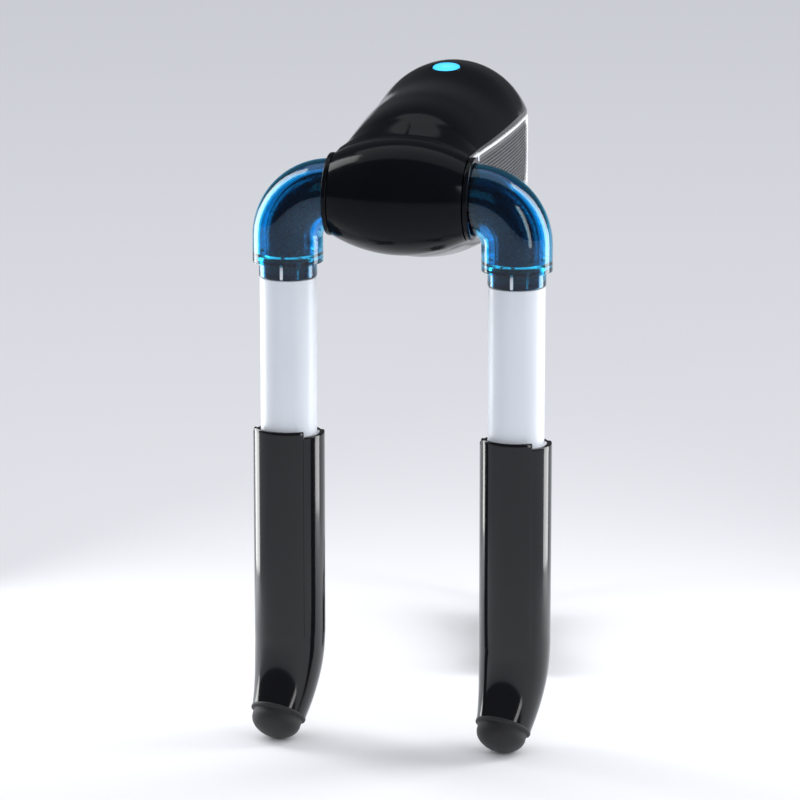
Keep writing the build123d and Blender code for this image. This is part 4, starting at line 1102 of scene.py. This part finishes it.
class DRYER_OT_cord(bpy.types.Operator):
    """Mains lead with its hank, its tie, its plug and its strain relief"""
    bl_idname = "dryer.cord"
    bl_label = "Lead"

    def relief(self):
        """Strain relief: collar, then a taper with ribs, turned about the cord."""
        start, front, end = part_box("strain_relief")[0].y / MM, RELIEF_FRONT, RELIEF_END
        y = np.linspace(front, end, 120)
        taper = 4.2 + (3.0 - 4.2) * (y - front) / (end - front)
        rib = np.clip(np.sin((y - front - 6) / 4.6 * 2 * np.pi) * 3, -1, 1) * 0.5 + 0.5
        inside = (y > front + 6) & (y < end - 4)
        radius = taper - 0.75 * rib * inside
        profile = [(0, start), (3.0, start), (3.0, 140.0), (5.6, 140.0), (5.6, 142.0), (4.2, 142.0)]
        profile = np.concatenate([profile, np.stack([radius, y], -1), [(2.2, end), (0, end)]])
        axes = np.array([(1, 0, 0), (0, 0, 1), (0, 1, 0)], float)
        return turned_about(np.array([CORD_X / MM, 0, PARTING / MM]), axes, profile, 48)

    def plug(self):
        """Plug: rounded-box sections from its nose to the ribbed grip on the cord."""
        height = foot_of("plug_body") + PLUG_HALF_HEIGHT
        nose = PLUG_CENTRE / MM - HANK_AXIS * PLUG_LENGTH
        nose[2] = height
        along = np.concatenate([[0, 0, 0.6, 2.0], np.linspace(4, 30, 20), np.linspace(31, PLUG_LENGTH, 40),
                                [PLUG_LENGTH, PLUG_LENGTH]])
        wide = np.interp(along, [0, 2, 4, 18, 30, 31, 46], [11.4, 12.3, 12.5, 11.9, 7.6, 4.7, 3.0])
        tall = np.interp(along, [0, 2, 4, 18, 30, 31, 46], [6.6, 7.3, 7.5, 7.0, 5.4, 4.6, 3.0])
        power = np.interp(along, [0, 18, 31, 46], [5.0, 4.5, 2.0, 2.0])
        rib = (along > 31) & (along < 44)
        pinch = 1 - 0.16 * rib * (np.sin((along - 31) / 3.2 * 2 * np.pi) > 0.2)
        hollow = 1 - 0.07 * np.exp(-((along - 13) / 6) ** 2)
        wide, tall = wide * pinch * hollow, tall * pinch
        wide[0] = tall[0] = wide[-1] = tall[-1] = 0.0
        turn = even_turn(64)
        shape = squareness(turn[None], power[:, None])
        x, z = wide[:, None] * np.cos(turn)[None] * shape, tall[:, None] * np.sin(turn)[None] * shape
        return nose + along[:, None, None] * HANK_AXIS + x[..., None] * HANK_SIDE + z[..., None] * UP

    def tie(self):
        """Strap round the waist: a flat band carried round a rounded rectangle."""
        low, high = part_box("cable_tie")
        half_w, half_h, width = 8.6, (high.z - low.z) / MM / 2 - 0.6, 6.0
        turn = even_turn(80)
        shape = squareness(turn, 7.0)
        loop = np.stack([half_w * np.cos(turn) * shape, half_h * np.sin(turn) * shape], -1)
        cross = np.array([(-1, -0.5), (-0.9, 0.5), (0.9, 0.5), (1, -0.5)])
        centre = HANK_CENTRE / MM + np.array([0, 0, half_h + 0.6])
        scale = 1 + cross[:, 1] * 1.1 / half_w
        across, up = loop[:, 0][:, None] * scale, loop[:, 1][:, None] * (1 + cross[:, 1] * 1.1 / half_h)
        return centre + across[..., None] * HANK_SIDE + up[..., None] * UP \
            + (cross[:, 0] * width / 2)[None, :, None] * HANK_AXIS

    def execute(self, context):
        diameter = context.scene.dryer_details.cord_diameter
        make_piece("cord_relief", [grid(self.relief(), close_cols=True)], "cord_jacket", "head",
                   ("strain_relief",), sharp=50)
        plug = make_piece("plug", [grid(self.plug(), close_cols=True)], "cord_jacket", "head",
                          ("plug_body",), sharp=40)
        tie = make_piece("hank_tie", [grid(self.tie(), close_rows=True, close_cols=True)], "tie_grey", "head",
                         ("cable_tie",), sharp=40)
        along, over, height = (np.array(PLUG_LEAD_IN) * MM).T
        lead_in = HANK_CENTRE + along[:, None] * HANK_AXIS + over[:, None] * HANK_SIDE + height[:, None] * UP
        last = PLUG_CENTRE.copy()
        last[2] = (foot_of("plug_body") + PLUG_HALF_HEIGHT) * MM
        route = np.concatenate([CORD_ROUTE, hank_points(diameter), lead_in, [last]])
        curve = bpy.data.curves.new("power_lead", "CURVE")
        curve.dimensions = "3D"
        curve.bevel_depth = diameter / 2
        curve.bevel_resolution = 5
        curve.resolution_u = 6
        curve.use_fill_caps = True
        spline = curve.splines.new("NURBS")
        spline.points.add(len(route) - 1)
        spline.points.foreach_set("co", np.concatenate([route, np.ones((len(route), 1))], 1).ravel())
        spline.order_u = 3
        spline.use_endpoint_u = True
        lead = add_object("power_lead", curve)
        dress(lead, "cord_jacket")
        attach(lead, "head")
        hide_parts("power_cord", "cord_hank")
        return {"FINISHED"}


class DRYER_OT_stage(bpy.types.Operator):
    """Pale paper floor, studio lights and the camera"""
    bl_idname = "dryer.stage"
    bl_label = "Stage"

    def floor(self, colour):
        """Wide level sheet of pale paper under the feet."""
        across = np.array([-9000.0, 9000.0])
        points = np.stack(np.broadcast_arrays(across[None, :], across[:, None], FLOOR), -1) * MM
        mesh = bpy.data.meshes.new("paper_floor")
        mesh.from_pydata(points.reshape(-1, 3).tolist(), [], quads(2, 2).tolist())
        paper = add_object("paper_floor", mesh)
        material, tree, shader = new_finish("paper")
        set_shader(shader, Base_Color=tuple(colour), Roughness=0.9, Specular_IOR_Level=0.1)
        add_grain(tree, shader, 400.0, 0.03, 0.0002)
        mesh.materials.append(material)

    def surroundings(self, strength):
        """Even pale light all round, which glossy surfaces see much dimmer."""
        world = bpy.data.worlds.new("studio")
        world.use_nodes = True
        tree = world.node_tree
        pale = tree.nodes["Background"]
        dim = add_node(tree, "ShaderNodeBackground", Color=(0.8, 0.85, 0.9, 1), Strength=0.12 * strength)
        pale.inputs["Color"].default_value = (0.93, 0.95, 1.0, 1)
        pale.inputs["Strength"].default_value = 0.92 * strength
        ray = add_node(tree, "ShaderNodeLightPath")
        mix = add_node(tree, "ShaderNodeMixShader")
        tree.links.new(ray.outputs["Is Glossy Ray"], mix.inputs["Fac"])
        tree.links.new(pale.outputs["Background"], mix.inputs[1])
        tree.links.new(dim.outputs["Background"], mix.inputs[2])
        tree.links.new(mix.outputs["Shader"], tree.nodes["World Output"].inputs["Surface"])
        bpy.context.scene.world = world

    def light(self, name, place, aim, size, power, spread=math.pi, mirrored=True):
        """One soft rectangular light, in metres, turned to aim."""
        lamp = bpy.data.lights.new(name, "AREA")
        lamp.shape = "RECTANGLE"
        lamp.size, lamp.size_y = size
        lamp.energy = power
        lamp.spread = spread
        holder = add_object(name, lamp)
        holder.visible_camera = False
        holder.visible_glossy = mirrored
        holder.location = place
        holder.rotation_euler = (Vector(aim) - Vector(place)).to_track_quat("-Z", "Y").to_euler()

    def camera(self, settings):
        """Long lens at the settings' angle, framed on everything but the lead."""
        a, e = settings.azimuth, settings.elevation
        back = np.array([math.sin(a) * math.cos(e), -math.cos(a) * math.cos(e), math.sin(e)])
        right = np.array([math.cos(a), math.sin(a), 0.0])
        up = np.cross(back, right)
        off = set(frame["record"]["physics"]["cord_nodes"]) | {"strain_relief"}
        spots = np.concatenate([[tuple(v.co) for v in node.data.vertices]
                                for name, node in frame["nodes"].items() if name not in off])
        seen = np.stack([spots @ right, spots @ up, spots @ back], -1)
        low, high = seen.min(0), seen.max(0)
        middle = (low + high) / 2
        centre = middle[0] * right + middle[1] * up + middle[2] * back
        camera = bpy.data.cameras.new("camera")
        camera.lens = settings.lens
        camera.sensor_width = 36.0
        span = max(high[0] - low[0], high[1] - low[1]) / settings.fill
        distance = span * camera.lens / camera.sensor_width
        camera.clip_start, camera.clip_end = distance * 0.05, distance * 20
        holder = add_object("camera", camera)
        holder.location = Vector(centre + back * distance)
        holder.rotation_euler = Vector(-back).to_track_quat("-Z", "Y").to_euler()
        bpy.context.scene.camera = holder

    def execute(self, context):
        settings = context.scene.dryer_stage
        power = settings.light_strength
        self.floor(settings.floor_colour)
        self.camera(settings)
        aim = (0.0, 0.03, -0.1)
        self.light("overhead", (0.0, 0.55, 1.5), (0.0, 0.6, -0.25), (2.2, 1.2), 6.5 * power)
        self.light("front", (-0.3, -2.2, 1.4), aim, (1.6, 1.2), 6 * power, mirrored=False)
        self.light("right_fill", (1.45, -1.0, 0.25), aim, (0.3, 1.7), 8 * power)
        self.light("left_strip", (-0.31, 0.10, 0.1), (0.0, 0.0, 0.1), (0.14, 0.7), 1.9 * power)
        self.light("right_strip", (0.31, 0.17, 0.1), (0.0, 0.0, 0.1), (0.14, 0.7), 1.9 * power)
        self.surroundings(power)
        context.scene.view_settings.view_transform = "Standard"
        return {"FINISHED"}


class DRYER_PT_panel(bpy.types.Panel):
    """Every step of the dryer, in order, with the settings"""
    bl_idname = "DRYER_PT_panel"
    bl_label = "Boot dryer"
    bl_space_type = "VIEW_3D"
    bl_region_type = "UI"
    bl_category = "Boot dryer"

    def draw(self, context):
        for step in STEPS:
            self.layout.operator(step.bl_idname)
        for group in (context.scene.dryer_finish, context.scene.dryer_details, context.scene.dryer_stage):
            column = self.layout.column(align=True)
            for name in group.__annotations__:
                column.prop(group, name)


STEPS = (DRYER_OT_inside, DRYER_OT_cord, DRYER_OT_case, DRYER_OT_intakes, DRYER_OT_button,
         DRYER_OT_elbows, DRYER_OT_tubes, DRYER_OT_stage)
GROUPS = {"dryer_finish": DRYER_PG_finish, "dryer_details": DRYER_PG_details, "dryer_stage": DRYER_PG_stage}


def register():
    """Registers the settings, the operators and the panel."""
    for name, group in GROUPS.items():
        bpy.utils.register_class(group)
        setattr(bpy.types.Scene, name, bpy.props.PointerProperty(type=group))
    for step in STEPS:
        bpy.utils.register_class(step)
    bpy.utils.register_class(DRYER_PT_panel)


def unregister():
    """Takes everything back out."""
    bpy.utils.unregister_class(DRYER_PT_panel)
    for step in reversed(STEPS):
        bpy.utils.unregister_class(step)
    for name, group in GROUPS.items():
        delattr(bpy.types.Scene, name)
        bpy.utils.unregister_class(group)


def main():
    """Runs every step in order."""
    register()
    bpy.ops.dryer.inside()
    bpy.ops.dryer.cord()
    bpy.ops.dryer.case()
    bpy.ops.dryer.intakes()
    bpy.ops.dryer.button()
    bpy.ops.dryer.elbows()
    bpy.ops.dryer.tubes()
    bpy.ops.dryer.stage()


if __name__ == "__main__":
    main()
